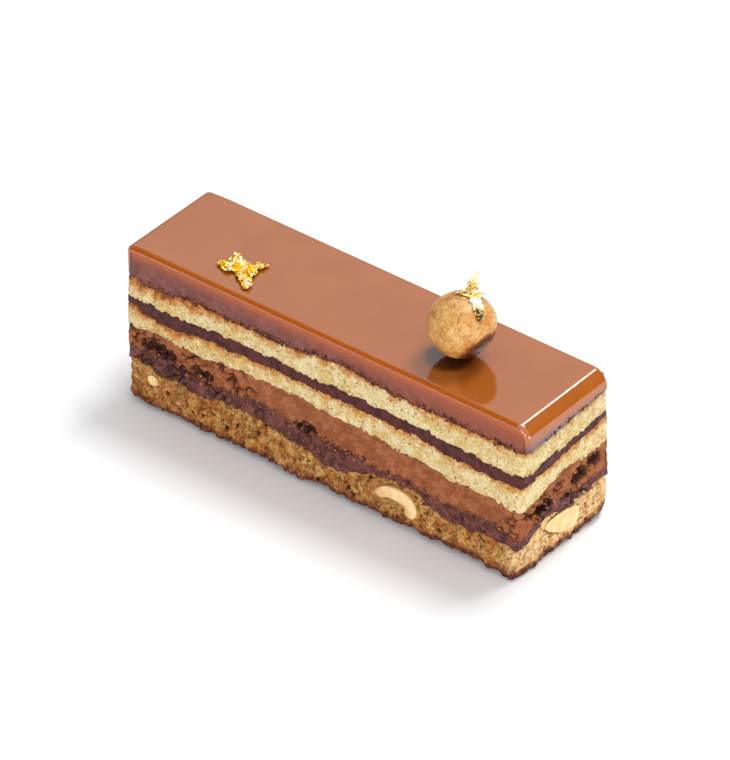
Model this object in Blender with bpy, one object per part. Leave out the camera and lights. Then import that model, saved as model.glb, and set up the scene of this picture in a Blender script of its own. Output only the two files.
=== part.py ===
"""An oblong layered entremet: nut biscuit, ganache, praline, two sponges, ganache, mousse and milk chocolate glaze.

A whole hazelnut and two crumples of gold leaf lie on the glaze, and cut hazelnuts show in the biscuit.
The long way is X, the photographed cut faces -Y and the photographed end +X. Units are metres, and +Z is up.
"""

import math

import bmesh
import bpy
from mathutils import Euler, Matrix, Vector, noise

MM = 0.001

# Driving dimensions of the whole cake.
LENGTH = 110 * MM
WIDTH = 27.1 * MM
HEIGHT = 38.9 * MM
GAP = 0.3 * MM  # kept between pieces that touch

# The glaze: a skin over the top that drapes down over both ends.
GLAZE = 1.2 * MM
RIGHT_RADIUS = 3.8 * MM
LEFT_RADIUS = 1.6 * MM
LEFT_DROOP = 0.3 * MM
DROOP_REACH = 7 * MM
GLAZE_EDGE = 0.9 * MM  # rounding along the two cut faces
DRAPE = 3.0 * MM  # nominal length of the drape below the rounding
GLAZE_HEM = 0.45 * MM  # the drape ends this far above the upper sponge, give or take its ragged edge

# How far the walls stand outside the top's outline at shares of the height from the top down, in mm.
FRONT_PROFILE = ((0, 0.0), (0.12, 0.1), (0.35, 0.9), (0.68, 1.4), (0.8, 2.0), (1.0, 3.0))
BACK_PROFILE = ((0, 0.0), (0.12, 0.3), (0.35, 1.2), (0.68, 2.0), (0.8, 2.7), (1.0, 3.4))
END_PROFILE = ((0, -0.7), (0.16, -0.8), (0.35, -0.95), (0.7, -1.2), (0.8, -1.3), (1.0, -1.8))
LEFT_PROFILE = ((0, -0.5), (0.35, -0.5), (0.6, -0.6), (0.7, -0.95), (0.8, -1.1), (1.0, -1.6))
MOUSSE_RECESS = 1.65 * MM  # the mousse stops behind the drape
CORNER_CUT = 0.3 * MM
BASE_CORNER_CUT = 0.8 * MM
FOOT_INSET_X = 4.4 * MM  # the flat underside ends this far inside the top's outline at the ends
FOOT_INSET_Y = -0.4 * MM

# Mesh steps along the long faces, across the ends, and the zone at each end that is stepped both ways.
STEP_X = 2.3 * MM
STEP_Y = 2.3 * MM
END_ZONE = 6.4 * MM
END_COLUMN = 4.0 * MM  # the step inside that zone, clear of the deepest crag

# Layer boundaries in mm: heights at even stations from the left end to the right end along the front cut and along
# the back cut, and hills along the right end (place across, half width, height).
BOUNDARIES = {
    "base_top": (
        (10.4, 9.6, 8.8, 9.8, 9.9, 8.1, 6.9, 9.8, 10.2, 7.3, 8.1, 7.3),
        (9.6, 9.4, 9.9, 9.7, 8.6, 8.2, 8.9, 10.2, 10.5, 9.6, 9.9, 10.4),
        ((-6.0, 6.0, 3.3),),
    ),
    "paste_top": (
        (12.8, 14.5, 12.9, 13.3, 14.3, 12.5, 12.2, 11.7, 11.7, 11.1, 11.7, 9.7),
        (12.4, 13.0, 13.9, 13.4, 12.3, 11.7, 12.0, 12.9, 13.4, 12.8, 12.4, 12.7),
        ((-4.0, 7.0, 3.0),),
    ),
    "praline_top": (
        (18.8, 19.4, 19.1, 20.1, 20.3, 20.4, 19.9, 19.3, 18.4, 17.8, 17.8, 17.0),
        (18.6, 19.0, 19.4, 19.0, 18.6, 18.9, 19.5, 19.9, 19.6, 19.2, 19.5, 19.8),
        ((-1.0, 8.0, 2.2),),
    ),
    "sponge_a_top": (
        (24.6, 22.4, 23.8, 24.3, 24.7, 24.4, 24.5, 24.7, 24.6, 23.6, 23.1, 23.8),
        (24.4, 23.9, 24.2, 24.6, 24.7, 24.4, 24.3, 24.7, 25.0, 25.3, 25.9, 26.5),
        (),
    ),
    "ganache_top": (
        (26.3, 26.1, 26.5, 27.0, 27.1, 26.8, 27.2, 27.1, 27.1, 26.7, 26.3, 26.2),
        (26.4, 26.3, 26.8, 27.1, 27.2, 27.0, 26.8, 27.0, 27.2, 27.4, 27.7, 27.9),
        (),
    ),
    "sponge_b_top": (
        (31.0, 30.7, 31.7, 31.6, 31.5, 32.2, 33.3, 32.3, 31.9, 32.1, 32.0, 32.2),
        (31.4, 31.8, 32.2, 32.0, 31.8, 32.4, 32.6, 32.3, 32.6, 33.0, 33.4, 34.0),
        (),
    ),
}

# Hazelnut halves cut through with the cake:
# name, face, place along the face, height, radius, hollow radius, the way that the hollow opens in degrees, how
# many times longer than high, and how far it leans in degrees. Sizes in mm.
CUT_NUTS = (
    ("nut_front", "front", 20.7, 5.6, 3.7, 2.1, 225, 1.45, 0),
    ("nut_front_small", "front", -46.6, 7.3, 1.3, 0.0, 0, 1.1, 0),
    ("nut_end", "right", -0.5, 7.1, 2.9, 0.0, 0, 2.15, -17),
    ("nut_back", "back", 22.0, 5.2, 4.0, 2.5, 300, 1.0, 0),
    ("nut_left_end", "left", 3.0, 4.5, 3.1, 1.8, 200, 1.2, 0),
)
NUT_DEPTH = 0.62  # of a cut nut's radius that reaches into the cake, as a share
NUT_CALM = 3.0 * MM  # relief of the biscuit fades over this distance round a cut nut
POCKET_REACH = 4.0 * MM  # how far a pocket's cutter stands out of the face

# Open voids where praline and paste have parted: face, place along the face, height, half length, half height, depth, in mm.
VOIDS = (
    ("front", -46.0, 15.4, 5.0, 1.8, 1.8),
    ("front", -33.5, 14.6, 4.0, 1.4, 1.6),
    ("front", -4.0, 13.6, 3.4, 1.5, 1.6),
    ("right", -7.0, 14.6, 4.0, 1.9, 2.4),
    ("right", 5.6, 16.2, 2.6, 2.4, 2.4),
    ("right", 10.6, 17.0, 2.4, 2.2, 2.0),
    ("back", 12.0, 12.4, 6.0, 1.4, 2.0),
    ("back", -38.0, 12.2, 5.0, 1.4, 2.0),
    ("left", 4.0, 12.8, 4.5, 1.4, 2.0),
)

# The whole hazelnut on top.
NUT_RADIUS = 7.6 * MM
NUT_X = 27.3 * MM
NUT_Y = -1.1 * MM

# Gold leaf: the crumple on the glaze and the ribbon over the hazelnut.
LEAF = 0.35 * MM
FLAKE_X = -28.4 * MM
FLAKE_Y = -5.8 * MM
# Its outline seen from above: direction in degrees and distance from its middle in mm.
FLAKE_OUTLINE = (
    (0, 3.2), (28, 3.0), (54, 5.6), (80, 2.4), (110, 2.3), (145, 4.0), (172, 5.4), (197, 6.1), (222, 4.2),
    (250, 2.3), (285, 3.2), (317, 7.6), (338, 3.4), (360, 3.2),
)
FLAKE_PEAK = (-2.6, 0.9, 2.0)  # its highest fold, and how far that stands up, in mm

FACES = {"front": (0, -1), "back": (0, 1), "right": (1, 0), "left": (-1, 0)}


def clear_scene():
    for obj in list(bpy.data.objects):
        bpy.data.objects.remove(obj, do_unlink=True)


def make_collection(name, helper=False):
    made = bpy.data.collections.new(name)
    made.hide_render = helper
    bpy.context.scene.collection.children.link(made)
    return made


def make_material(name, color, roughness, metallic=0.0):
    material = bpy.data.materials.new(name)
    material.use_nodes = True
    shader = material.node_tree.nodes["Principled BSDF"]
    shader.inputs["Base Color"].default_value = (*color, 1.0)
    shader.inputs["Roughness"].default_value = roughness
    shader.inputs["Metallic"].default_value = metallic
    return material


def make_object(name, bm, collection, material=None, smooth_below=35):
    bmesh.ops.recalc_face_normals(bm, faces=bm.faces)
    if bm.calc_volume(signed=True) < 0:
        bmesh.ops.reverse_faces(bm, faces=bm.faces)
    mesh = bpy.data.meshes.new(name)
    bm.to_mesh(mesh)
    bm.free()
    mesh.shade_smooth()
    mesh.set_sharp_from_angle(angle=math.radians(smooth_below))
    obj = bpy.data.objects.new(name, mesh)
    if material:
        mesh.materials.append(material)
    collection.objects.link(obj)
    return obj


def smoothstep(low, high, value):
    share = min(1.0, max(0.0, (value - low) / (high - low)))
    return share * share * (3 - 2 * share)


def rough(x, y, z, grain, seed):
    """Coherent noise of about -1 to 1 whose lumps are that many metres across."""
    return 1.6 * noise.noise(Vector((x, y, z)) / grain + Vector((seed, 2.7 * seed, -seed)))


def hills_at(hills, place):
    """Height that a row of hills adds at this place along it, in metres."""
    return sum(
        height * MM * math.exp(-(((place / MM - centre) / reach) ** 2))
        for centre, reach, height in hills
    )


def station_height(heights, x):
    """Height at this place along the cake, on a smooth curve through the stations."""
    last = len(heights) - 1
    place = min(max((x / LENGTH + 0.5) * last, 0.0), last)
    index = min(int(place), last - 1)
    share = place - index
    before, low, high, after = (heights[min(max(index + k, 0), last)] for k in (-1, 0, 1, 2))
    slope_in, slope_out = (high - before) / 2, (after - low) / 2
    squared, cubed = share**2, share**3
    curve = low * (2 * cubed - 3 * squared + 1) + high * (3 * squared - 2 * cubed)
    return (curve + slope_in * (cubed - 2 * squared + share) + slope_out * (cubed - squared)) * MM


def boundary(name, x, y):
    """Height of a layer boundary. It runs straight from cut to cut, and has hills of its own along the right end."""
    front, back, end = BOUNDARIES[name]
    share = min(max(y / WIDTH + 0.5, 0.0), 1.0)
    height = station_height(front, x) * (1 - share) + station_height(back, x) * share
    ramp = min(1.0, max(0.0, (x - LENGTH / 2 + END_ZONE) / (END_ZONE - 2.4 * MM)))
    return height + ramp * hills_at(end, y)


def mean_height(name):
    front, back, _ = BOUNDARIES[name]
    return (sum(front) + sum(back)) / (len(front) + len(back)) * MM


def profile(table, z):
    """How far a wall stands out at this height."""
    down = min(1.0, max(0.0, 1 - z / HEIGHT))
    for (above, first), (below, last) in zip(table, table[1:]):
        if down <= below:
            return (first + (last - first) * (down - above) / (below - above)) * MM
    return table[-1][1] * MM


def droop(x):
    """How far the top sinks towards the left end."""
    from_rounding = max(0.0, x + LENGTH / 2 - LEFT_RADIUS)
    return LEFT_DROOP * max(0.0, 1 - from_rounding / DROOP_REACH) ** 2


def rounded_fall(x, inset):
    """How far a surface that lies inset under the glaze's outside falls at a rounded end."""
    fall = 0.0
    for radius, end in ((RIGHT_RADIUS, LENGTH / 2 - x), (LEFT_RADIUS, LENGTH / 2 + x)):
        inner = max(radius - inset, 0.4 * MM)
        past = min(max(inner - (end - inset), 0.0), inner)
        fall = max(fall, inner - math.sqrt(inner**2 - past**2))
    return fall


def push_out(face, z):
    """How far a face of the cake stands outside the top's outline at this height."""
    tables = {"front": FRONT_PROFILE, "back": BACK_PROFILE, "left": LEFT_PROFILE}
    return profile(tables.get(face, END_PROFILE), z)


def along_face(face, x, y):
    return x if face in ("front", "back") else y


def void_depth(face, x, y, z):
    """Depth of the open voids at a point of a face."""
    place = along_face(face, x, y) / MM
    depth = 0.0
    for name, centre, height, half_length, half_height, deep in VOIDS:
        if name == face:
            reach = ((place - centre) / half_length) ** 2 + ((z / MM - height) / half_height) ** 2
            depth = max(depth, deep * MM * max(0.0, 1 - reach))
    return depth


def leant(across, up, lean):
    """A place turned by lean degrees."""
    cos, sin = math.cos(math.radians(lean)), math.sin(math.radians(lean))
    return across * cos - up * sin, across * sin + up * cos


def nut_calm(face, x, y, z):
    """0 on a cut nut, 1 away from every nut: the biscuit is flush with a nut's cut face."""
    place = along_face(face, x, y) / MM
    calm = 1.0
    for _, name, centre, height, radius, _, _, stretch, lean in CUT_NUTS:
        if name == face:
            across, up = leant(place - centre, z / MM - height, -lean)
            far = (math.hypot(across / stretch, up) - radius) * MM
            calm = min(calm, smoothstep(0.3 * NUT_CALM, NUT_CALM, far))
    return calm


def steps(low, high, step):
    """Even values from low to high, about a step apart."""
    count = max(1, round((high - low) / step))
    return [low + (high - low) * i / count for i in range(count + 1)]


def columns(half_length, extra=()):
    """The places along the cake at which a layer is stepped: the same for all, but for the two ends."""
    inner = LENGTH / 2 - END_ZONE
    middle = steps(-inner, inner, STEP_X)
    near = sorted({END_COLUMN, *extra}, reverse=True)
    last = [LENGTH / 2 - place for place in near]
    return [-half_length, *(-x for x in reversed(last)), *middle, *last, half_length]


def cut_plane(bm, geometry, axis, place):
    normal = [0, 0, 0]
    normal[axis] = 1
    bmesh.ops.bisect_plane(
        bm, geom=geometry, dist=1e-7, plane_co=[place * n for n in normal], plane_no=normal
    )


def cut_block(xs, ys, ws, strips=True):
    """A block cut at each value. With strips, top and bottom run in strips across, away from the ends."""
    low = Vector((xs[0], ys[0], ws[0]))
    size = Vector((xs[-1], ys[-1], ws[-1])) - low
    bm = bmesh.new()
    place = Matrix.Translation(low + size / 2) @ Matrix.Diagonal((*size, 1))
    bmesh.ops.create_cube(bm, size=1, matrix=place)
    for axis, places in ((0, xs), (2, ws)):
        for value in places[1:-1]:
            cut_plane(bm, bm.verts[:] + bm.edges[:] + bm.faces[:], axis, value)
    zone = LENGTH / 2 - END_ZONE
    for value in ys[1:-1]:
        faces = [f for f in bm.faces if not strips or abs(f.calc_center_median().x) > zone]
        edges = {e for f in faces for e in f.edges}
        verts = {v for f in faces for v in f.verts}
        cut_plane(bm, [*verts, *edges, *faces], 1, value)
    split_alike(bm)
    return bm


def split_alike(bm):
    """Splits the top's and the bottom's quads along the same diagonal, so that facing layers stay clear."""
    bm.normal_update()
    for face in [f for f in bm.faces if abs(f.normal.z) > 0.5 and len(f.verts) == 4]:
        first = min(face.verts, key=lambda v: v.co.x + v.co.y)
        last = max(face.verts, key=lambda v: v.co.x + v.co.y)
        bmesh.ops.connect_verts(bm, verts=[first, last])


def wall_of(x, y, half_length, half_width):
    """The outward direction of a block's wall at a point, and the faces that it belongs to. Inside it is zero."""
    out = Vector((0, 0, 0))
    faces = []
    for face, (along_x, along_y) in FACES.items():
        if (along_x and x * along_x > half_length - 1e-6) or (along_y and y * along_y > half_width - 1e-6):
            out += Vector((along_x, along_y, 0))
            faces.append(face)
    return out, faces


def layer(lower, upper, rows, relief, grain, seed, voids=False):
    """A closed layer between two boundaries, with its cut faces standing out and roughened."""
    top = upper == "glaze"
    half_length, half_width = LENGTH / 2, WIDTH / 2
    extra = (1.9 * MM, 3.0 * MM) if top else ()
    bm = cut_block(
        columns(half_length, extra), steps(-half_width, half_width, STEP_Y), steps(0, 1, 1 / rows)
    )
    floor = mean_height(lower)
    ceiling = HEIGHT if top else mean_height(upper)
    for vert in bm.verts:
        x, y, share = vert.co
        out, faces = wall_of(x, y, half_length, half_width)
        level = floor + (ceiling - floor) * share
        for face in faces:
            way = Vector((*FACES[face], 0))
            stand = -MOUSSE_RECESS if top and way.x else push_out(face, level)
            sunk = void_depth(face, x, y, level) if voids else 0.0
            shift = way * (stand + relief * rough(*vert.co.xy, level, grain, seed) - sunk)
            x, y = x + shift.x, y + shift.y
        if len(faces) == 2:
            x, y = x - out.x * CORNER_CUT, y - out.y * CORNER_CUT
        low = boundary(lower, x, y) + GAP / 2
        if top:
            high = HEIGHT - droop(x) - GLAZE - GAP - rounded_fall(x, GLAZE + GAP)
        else:
            high = boundary(upper, x, y) - GAP / 2
        vert.co = (x, y, low + (high - low) * share)
    return bm


def raised_corner(x, y):
    """1 at the far right corner, where the biscuit's lower edge rises, and 0 away from it."""
    return smoothstep(0.36, 0.5, x / LENGTH) * smoothstep(0.1, 0.6, y / WIDTH)


def base_biscuit():
    """The coarse nut biscuit: crags on its walls, a ragged lower edge, and a flat underside to stand on."""
    rows = 6
    half_length, half_width = LENGTH / 2, WIDTH / 2
    foot_x, foot_y = 1 - FOOT_INSET_X / half_length, 1 - FOOT_INSET_Y / half_width
    bm = cut_block(
        columns(half_length), steps(-half_width, half_width, STEP_Y), steps(0, 1, 1 / rows)
    )
    for vert in bm.verts:
        x, y, share = vert.co
        if share < 0.5 / rows:
            inward = 3 * MM * raised_corner(x, y)
            vert.co = (x * foot_x - inward, y * foot_y - inward, 0)
            continue
        out, faces = wall_of(x, y, half_length, half_width)
        level = mean_height("base_top") * share
        calm = min([nut_calm(face, x, y, level) for face in faces], default=1.0)
        crags = 0.9 * MM * rough(x, y, level, 6 * MM, 3.1) + 0.5 * MM * rough(x, y, level, 2.6 * MM, 8.4)
        edge = 0.5 + 0.5 * smoothstep(0.0, 0.35, share)
        for face in faces:
            way = Vector((*FACES[face], 0))
            shift = way * (push_out(face, level) + crags * calm * edge)
            x, y = x + shift.x, y + shift.y
        if len(faces) == 2:
            x, y = x - out.x * BASE_CORNER_CUT, y - out.y * BASE_CORNER_CUT
        lift = 0.3 * MM + calm * (0.4 * MM + 0.6 * MM * rough(x, y, 0, 5 * MM, 5.5))
        lift += 2.2 * MM * raised_corner(x, y)
        low, high = max(lift, 0.15 * MM), boundary("base_top", x, y) - GAP / 2
        vert.co = (x, y, low + (high - low) * (share - 1 / rows) / (1 - 1 / rows))
    return bm


def cut_nut(face, place, height, radius, hollow, turn, stretch, lean):
    """A hazelnut half flush with a face of the cake, with a hollow in its cut side that opens towards turn."""
    bm = bmesh.new()
    bmesh.ops.create_uvsphere(bm, u_segments=16, v_segments=8, radius=1)
    mouth = math.radians(turn)
    for vert in bm.verts:
        across, along, inward = vert.co
        if inward < 0:
            sunk = 0.0
            if hollow:
                share = hollow / radius
                ahead = across * math.cos(mouth) + along * math.sin(mouth)
                beside = abs(along * math.cos(mouth) - across * math.sin(mouth))
                reach = max(0.0, -ahead) if ahead < 0 else 0.35 * ahead
                sunk = 0.75 * (1 - smoothstep(0.7 * share, 1.15 * share, math.hypot(reach, beside)))
            inward = sunk * NUT_DEPTH * math.sqrt(max(0.0, 1 - (across**2 + along**2)))
        else:
            inward *= NUT_DEPTH
        vert.co = (across * stretch * radius * MM, inward * radius * MM, along * radius * MM)
    bm.transform(nut_place(face, place, height, lean))
    return bm


def nut_pocket(face, place, height, radius, stretch, lean):
    """The cutter for a cut nut's pocket, which keeps the gap round it and is open outwards."""
    bm = bmesh.new()
    bmesh.ops.create_uvsphere(bm, u_segments=16, v_segments=8, radius=1)
    for vert in bm.verts:
        across, along, inward = vert.co
        size = radius * MM + GAP
        if inward < -0.01:
            if inward > -0.99:
                across, along = Vector((across, along)).normalized()
            inward *= POCKET_REACH / size
        else:
            inward *= NUT_DEPTH
        vert.co = (across * (size + (stretch - 1) * radius * MM), inward * size, along * size)
    bm.transform(nut_place(face, place, height, lean))
    return bm


def nut_place(face, place, height, lean):
    level, (along_x, along_y) = height * MM, FACES[face]
    stand = push_out(face, level)
    if along_y:
        centre = Vector((place * MM, along_y * (WIDTH / 2 + stand), level))
        turned = math.pi if along_y > 0 else 0
    else:
        centre = Vector((along_x * (LENGTH / 2 + stand), place * MM, level))
        turned = math.pi / 2 * along_x
    upright = Matrix.Rotation(turned, 4, "Z") @ Matrix.Rotation(-math.radians(lean), 4, "Y")
    return Matrix.Translation(centre) @ upright


def cut_out(obj, cutter):
    """Cuts cutter out of obj and keeps the result as obj's mesh."""
    modifier = obj.modifiers.new("cut", "BOOLEAN")
    modifier.operation = "DIFFERENCE"
    modifier.solver = "MANIFOLD"
    modifier.object = cutter
    bpy.context.view_layer.update()
    graph = bpy.context.evaluated_depsgraph_get()
    mesh = bpy.data.meshes.new_from_object(obj.evaluated_get(graph))
    obj.modifiers.clear()
    obj.data = mesh


def add_cut_nuts(base, parts, helpers, material):
    """The cut hazelnuts, each in a pocket of the biscuit."""
    for name, face, place, height, radius, hollow, turn, stretch, lean in CUT_NUTS:
        nut = cut_nut(face, place, height, radius, hollow, turn, stretch, lean)
        make_object(name, nut, parts, material)
        cutter = nut_pocket(face, place, height, radius, stretch, lean)
        pocket = make_object(name + "_pocket", cutter, helpers)
        cut_out(base, pocket)
        bpy.data.objects.remove(pocket)


def glaze_point(along, depth, y):
    """A point of the glaze's section: how far along its length, and how deep under its outside."""
    half, top = LENGTH / 2, HEIGHT
    flat = LENGTH - RIGHT_RADIUS - LEFT_RADIUS
    if 0 <= along <= flat:
        x = -half + LEFT_RADIUS + along
        return x, top - droop(x) - depth
    way, past, radius = (1, along - flat, RIGHT_RADIUS) if along > flat else (-1, -along, LEFT_RADIUS)
    sunk = 0 if way > 0 else LEFT_DROOP
    arc = radius * math.pi / 2
    angle = min(past, arc) / radius
    x = half - radius + (radius - depth) * math.sin(angle)
    z = top - sunk - radius + (radius - depth) * math.cos(angle)
    if past > arc:
        hem = boundary("sponge_b_top", way * x, y) + GLAZE_HEM + 0.3 * MM * (1 + rough(way, y, 0, 3 * MM, 9.0))
        z += (hem - z) * (past - arc) / DRAPE
    return way * x, z


def glaze():
    """The glaze as one bent slab: over the top, round both ends, and down to the upper sponge."""
    right_arc, left_arc = RIGHT_RADIUS * math.pi / 2, LEFT_RADIUS * math.pi / 2
    flat = LENGTH - RIGHT_RADIUS - LEFT_RADIUS
    alongs = [-left_arc - DRAPE, -left_arc - DRAPE / 2]
    alongs += [-left_arc * share for share in (1, 0.75, 0.5, 0.25)]
    alongs += steps(0, flat, 4 * MM)
    alongs += [flat + right_arc * share for share in (0.2, 0.4, 0.6, 0.8, 1)]
    alongs += [flat + right_arc + DRAPE / 2, flat + right_arc + DRAPE]
    half = WIDTH / 2 + 0.1 * MM
    side = [half - 5 * MM, half - GLAZE_EDGE, half - 0.25 * MM, half]
    ys = [-y for y in reversed(side)] + [0] + side
    bm = cut_block(alongs, ys, [0, 1], strips=False)
    for vert in bm.verts:
        along, y, share = vert.co
        edge = max(0.0, abs(y) - (half - GLAZE_EDGE)) / GLAZE_EDGE
        top = 1 - 0.6 * (1 - math.sqrt(max(0.0, 1 - edge**2)))
        x, z = glaze_point(along, GLAZE * (1 - share * top), y)
        vert.co = (x, y, z)
    return bm


def nut_shape(direction, radius):
    """Distance from a hazelnut's centre to its surface: a blunt tip, a flatter seat and faint lobes."""
    tip = max(0.0, direction.z)
    seat = max(0.0, -direction.z)
    lobes = 0.012 * math.cos(5 * math.atan2(direction.y, direction.x)) * (1 - direction.z**2)
    return radius * (1 + 0.05 * tip**4 - 0.07 * seat**3 + lobes)


NUT_TILT = Euler((math.radians(24), math.radians(-16), math.radians(30)))


def nut_centre():
    """The whole hazelnut's centre, with its lowest point just clear of the glaze."""
    turn = NUT_TILT.to_matrix()
    lowest = 0.0
    for ring in range(60, 91, 3):
        for side in range(0, 360, 10):
            tilt, heading = math.radians(ring), math.radians(side)
            down = Vector((math.cos(tilt) * math.cos(heading), math.cos(tilt) * math.sin(heading), -math.sin(tilt)))
            lowest = max(lowest, nut_shape(turn.transposed() @ down, NUT_RADIUS) * -down.z)
    return Vector((NUT_X, NUT_Y, HEIGHT + GAP + lowest))


def hazelnut():
    bm = bmesh.new()
    bmesh.ops.create_uvsphere(bm, u_segments=24, v_segments=14, radius=1)
    for vert in bm.verts:
        direction = vert.co.normalized()
        vert.co = direction * nut_shape(direction, NUT_RADIUS)
    bm.transform(Matrix.Translation(nut_centre()) @ NUT_TILT.to_matrix().to_4x4())
    return bm


def flake_reach(angle):
    """Distance from the flake's middle to its edge in this direction, which is in degrees from 0 to 360."""
    for (before, first), (after, last) in zip(FLAKE_OUTLINE, FLAKE_OUTLINE[1:]):
        if angle <= after:
            return (first + (last - first) * smoothstep(before, after, angle)) * MM
    return FLAKE_OUTLINE[-1][1] * MM


def gold_flake():
    """A crumple of gold leaf on the glaze, thin and wavy: a round sheet drawn out into lobes, an arm and a leg."""
    bm = cut_block(steps(-1, 1, 1 / 7), steps(-1, 1, 1 / 7), [0, 1], strips=False)
    for vert in bm.verts:
        s, t, share = vert.co
        across, up = s * math.sqrt(1 - t**2 / 2), t * math.sqrt(1 - s**2 / 2)
        reach = flake_reach(math.degrees(math.atan2(up, across)) % 360)
        x, y = across * reach, up * reach
        folds = 0.5 + 0.6 * rough(x, y, 0, 1.5 * MM, 7.0) + 0.3 * rough(x, y, 0, 0.8 * MM, 3.0)
        peak = math.exp(-((x / MM - FLAKE_PEAK[0]) ** 2 + (y / MM - FLAKE_PEAK[1]) ** 2) / 1.6)
        lift = 0.15 + max(0.0, folds) * (1 - 0.6 * math.hypot(across, up) ** 3) + FLAKE_PEAK[2] * peak
        vert.co = (x, y, lift * MM + share * LEAF)
    bm.transform(Matrix.Translation((FLAKE_X, FLAKE_Y, HEIGHT + GAP)))
    return bm


# The ribbon's route in mm from the hazelnut's centre: up its flank, over its top, then standing free.
RIBBON_ROUTE = ((5.7, -1.6, 4.4), (4.3, -0.1, 6.1), (2.1, 1.6, 7.1), (0.0, 2.9, 7.2), (0.1, 3.7, 9.2), (0.7, 4.3, 12.4))
RIBBON_WIDTHS = (1.6, 2.8, 3.6, 4.6, 2.4, 1.0)


def ribbon_at(values, share):
    """Straight interpolation in a short list of numbers or points, share running from 0 to 1."""
    place = share * (len(values) - 1)
    index = min(int(place), len(values) - 2)
    return values[index] + (values[index + 1] - values[index]) * (place - index)


def gold_ribbon():
    """Gold leaf that clings to the hazelnut and stands up from it."""
    centre, turn = nut_centre(), NUT_TILT.to_matrix().transposed()
    route = [Vector(p) * MM for p in RIBBON_ROUTE]
    widths = [w * MM for w in RIBBON_WIDTHS]
    bm = cut_block(steps(0, 1, 1 / 16), steps(-0.5, 0.5, 1 / 4), [0, 1], strips=False)
    for vert in bm.verts:
        s, t, share = vert.co
        ahead = (ribbon_at(route, min(1, s + 0.03)) - ribbon_at(route, max(0, s - 0.03))).normalized()
        middle = ribbon_at(route, s)
        away = (middle - ahead * middle.dot(ahead)).normalized()
        side = ahead.cross(away)
        point = middle + side * t * ribbon_at(widths, s) * (1 + 0.2 * rough(s, t, 0, 0.2, 2.0))
        crumple = 0.45 * MM * (1 + rough(s, t, 0, 0.13, 5.0))
        low = nut_shape(turn @ point.normalized(), NUT_RADIUS) + GAP + 0.1 * MM
        if point.length < low + crumple:
            point = point.normalized() * (low + crumple)
            away = point.normalized()
        else:
            point += away * crumple * 0.6
        vert.co = centre + point + away * LEAF * share
    return bm


def centre_on_origin(parts):
    """Moves every part alike, so that the whole stands centred over the origin."""
    points = [obj.matrix_world @ v.co for obj in parts.objects for v in obj.data.vertices]
    middle = Vector([(min(p[i] for p in points) + max(p[i] for p in points)) / 2 for i in range(3)])
    lowest = min(p.z for p in points)
    for obj in parts.objects:
        obj.location -= Vector((middle.x, middle.y, lowest))
    print("moved by", middle.x, middle.y, lowest)


def main():
    clear_scene()
    parts = make_collection("entremet")
    helpers = make_collection("cutters", helper=True)

    biscuit = make_material("nut_biscuit", (0.47, 0.27, 0.09), 0.85)
    paste = make_material("dark_paste", (0.10, 0.035, 0.035), 0.45)
    praline = make_material("praline", (0.24, 0.095, 0.05), 0.75)
    sponge = make_material("sponge", (0.72, 0.50, 0.20), 0.9)
    ganache = make_material("ganache", (0.075, 0.025, 0.03), 0.4)
    mousse = make_material("mousse", (0.27, 0.11, 0.08), 0.6)
    shine = make_material("glaze", (0.40, 0.14, 0.04), 0.12)
    nut = make_material("hazelnut", (0.68, 0.40, 0.14), 0.45)
    cut = make_material("nut_flesh", (0.85, 0.58, 0.28), 0.5)
    gold = make_material("gold_leaf", (0.95, 0.66, 0.16), 0.25, metallic=1.0)

    base = make_object("base_biscuit", base_biscuit(), parts, biscuit)
    add_cut_nuts(base, parts, helpers, cut)
    stack = (
        ("dark_paste", "base_top", "paste_top", 2, 0.35, 3.5, 1.3, paste, False),
        ("praline", "paste_top", "praline_top", 4, 0.45, 3.2, 2.2, praline, True),
        ("sponge_lower", "praline_top", "sponge_a_top", 3, 0.30, 3.0, 3.7, sponge, False),
        ("ganache", "sponge_a_top", "ganache_top", 2, 0.15, 5.0, 4.9, ganache, False),
        ("sponge_upper", "ganache_top", "sponge_b_top", 3, 0.30, 3.0, 6.4, sponge, False),
        ("mousse", "sponge_b_top", "glaze", 3, 0.12, 6.0, 7.3, mousse, False),
    )
    for name, lower, upper, rows, relief, grain, seed, material, voids in stack:
        bm = layer(lower, upper, rows, relief * MM, grain * MM, seed, voids)
        make_object(name, bm, parts, material)
    make_object("glaze", glaze(), parts, shine)
    make_object("hazelnut", hazelnut(), parts, nut)
    make_object("gold_flake", gold_flake(), parts, gold)
    make_object("gold_ribbon", gold_ribbon(), parts, gold)
    bpy.data.collections.remove(helpers)
    bpy.context.view_layer.update()
    centre_on_origin(parts)


if __name__ == "__main__":
    main()
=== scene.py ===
"""Looks of the oblong layered entremet: fine meshes and procedural materials for every layer and topping."""

import math

import bpy
import numpy as np
from mathutils import Euler, Matrix, Vector


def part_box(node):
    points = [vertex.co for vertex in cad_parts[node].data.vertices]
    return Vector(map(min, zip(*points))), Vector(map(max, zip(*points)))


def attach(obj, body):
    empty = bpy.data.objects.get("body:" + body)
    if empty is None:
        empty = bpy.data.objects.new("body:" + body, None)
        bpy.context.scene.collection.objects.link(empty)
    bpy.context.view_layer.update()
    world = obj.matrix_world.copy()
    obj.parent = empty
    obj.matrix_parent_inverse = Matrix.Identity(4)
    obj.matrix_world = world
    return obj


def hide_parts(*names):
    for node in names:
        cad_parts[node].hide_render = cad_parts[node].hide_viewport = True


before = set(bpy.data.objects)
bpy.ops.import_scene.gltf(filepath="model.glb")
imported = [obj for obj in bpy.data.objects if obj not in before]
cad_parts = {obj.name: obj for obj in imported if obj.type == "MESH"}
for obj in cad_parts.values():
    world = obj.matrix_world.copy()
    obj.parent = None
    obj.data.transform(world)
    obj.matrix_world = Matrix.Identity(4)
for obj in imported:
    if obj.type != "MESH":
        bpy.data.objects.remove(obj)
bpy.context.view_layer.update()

MM = 0.001
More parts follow.
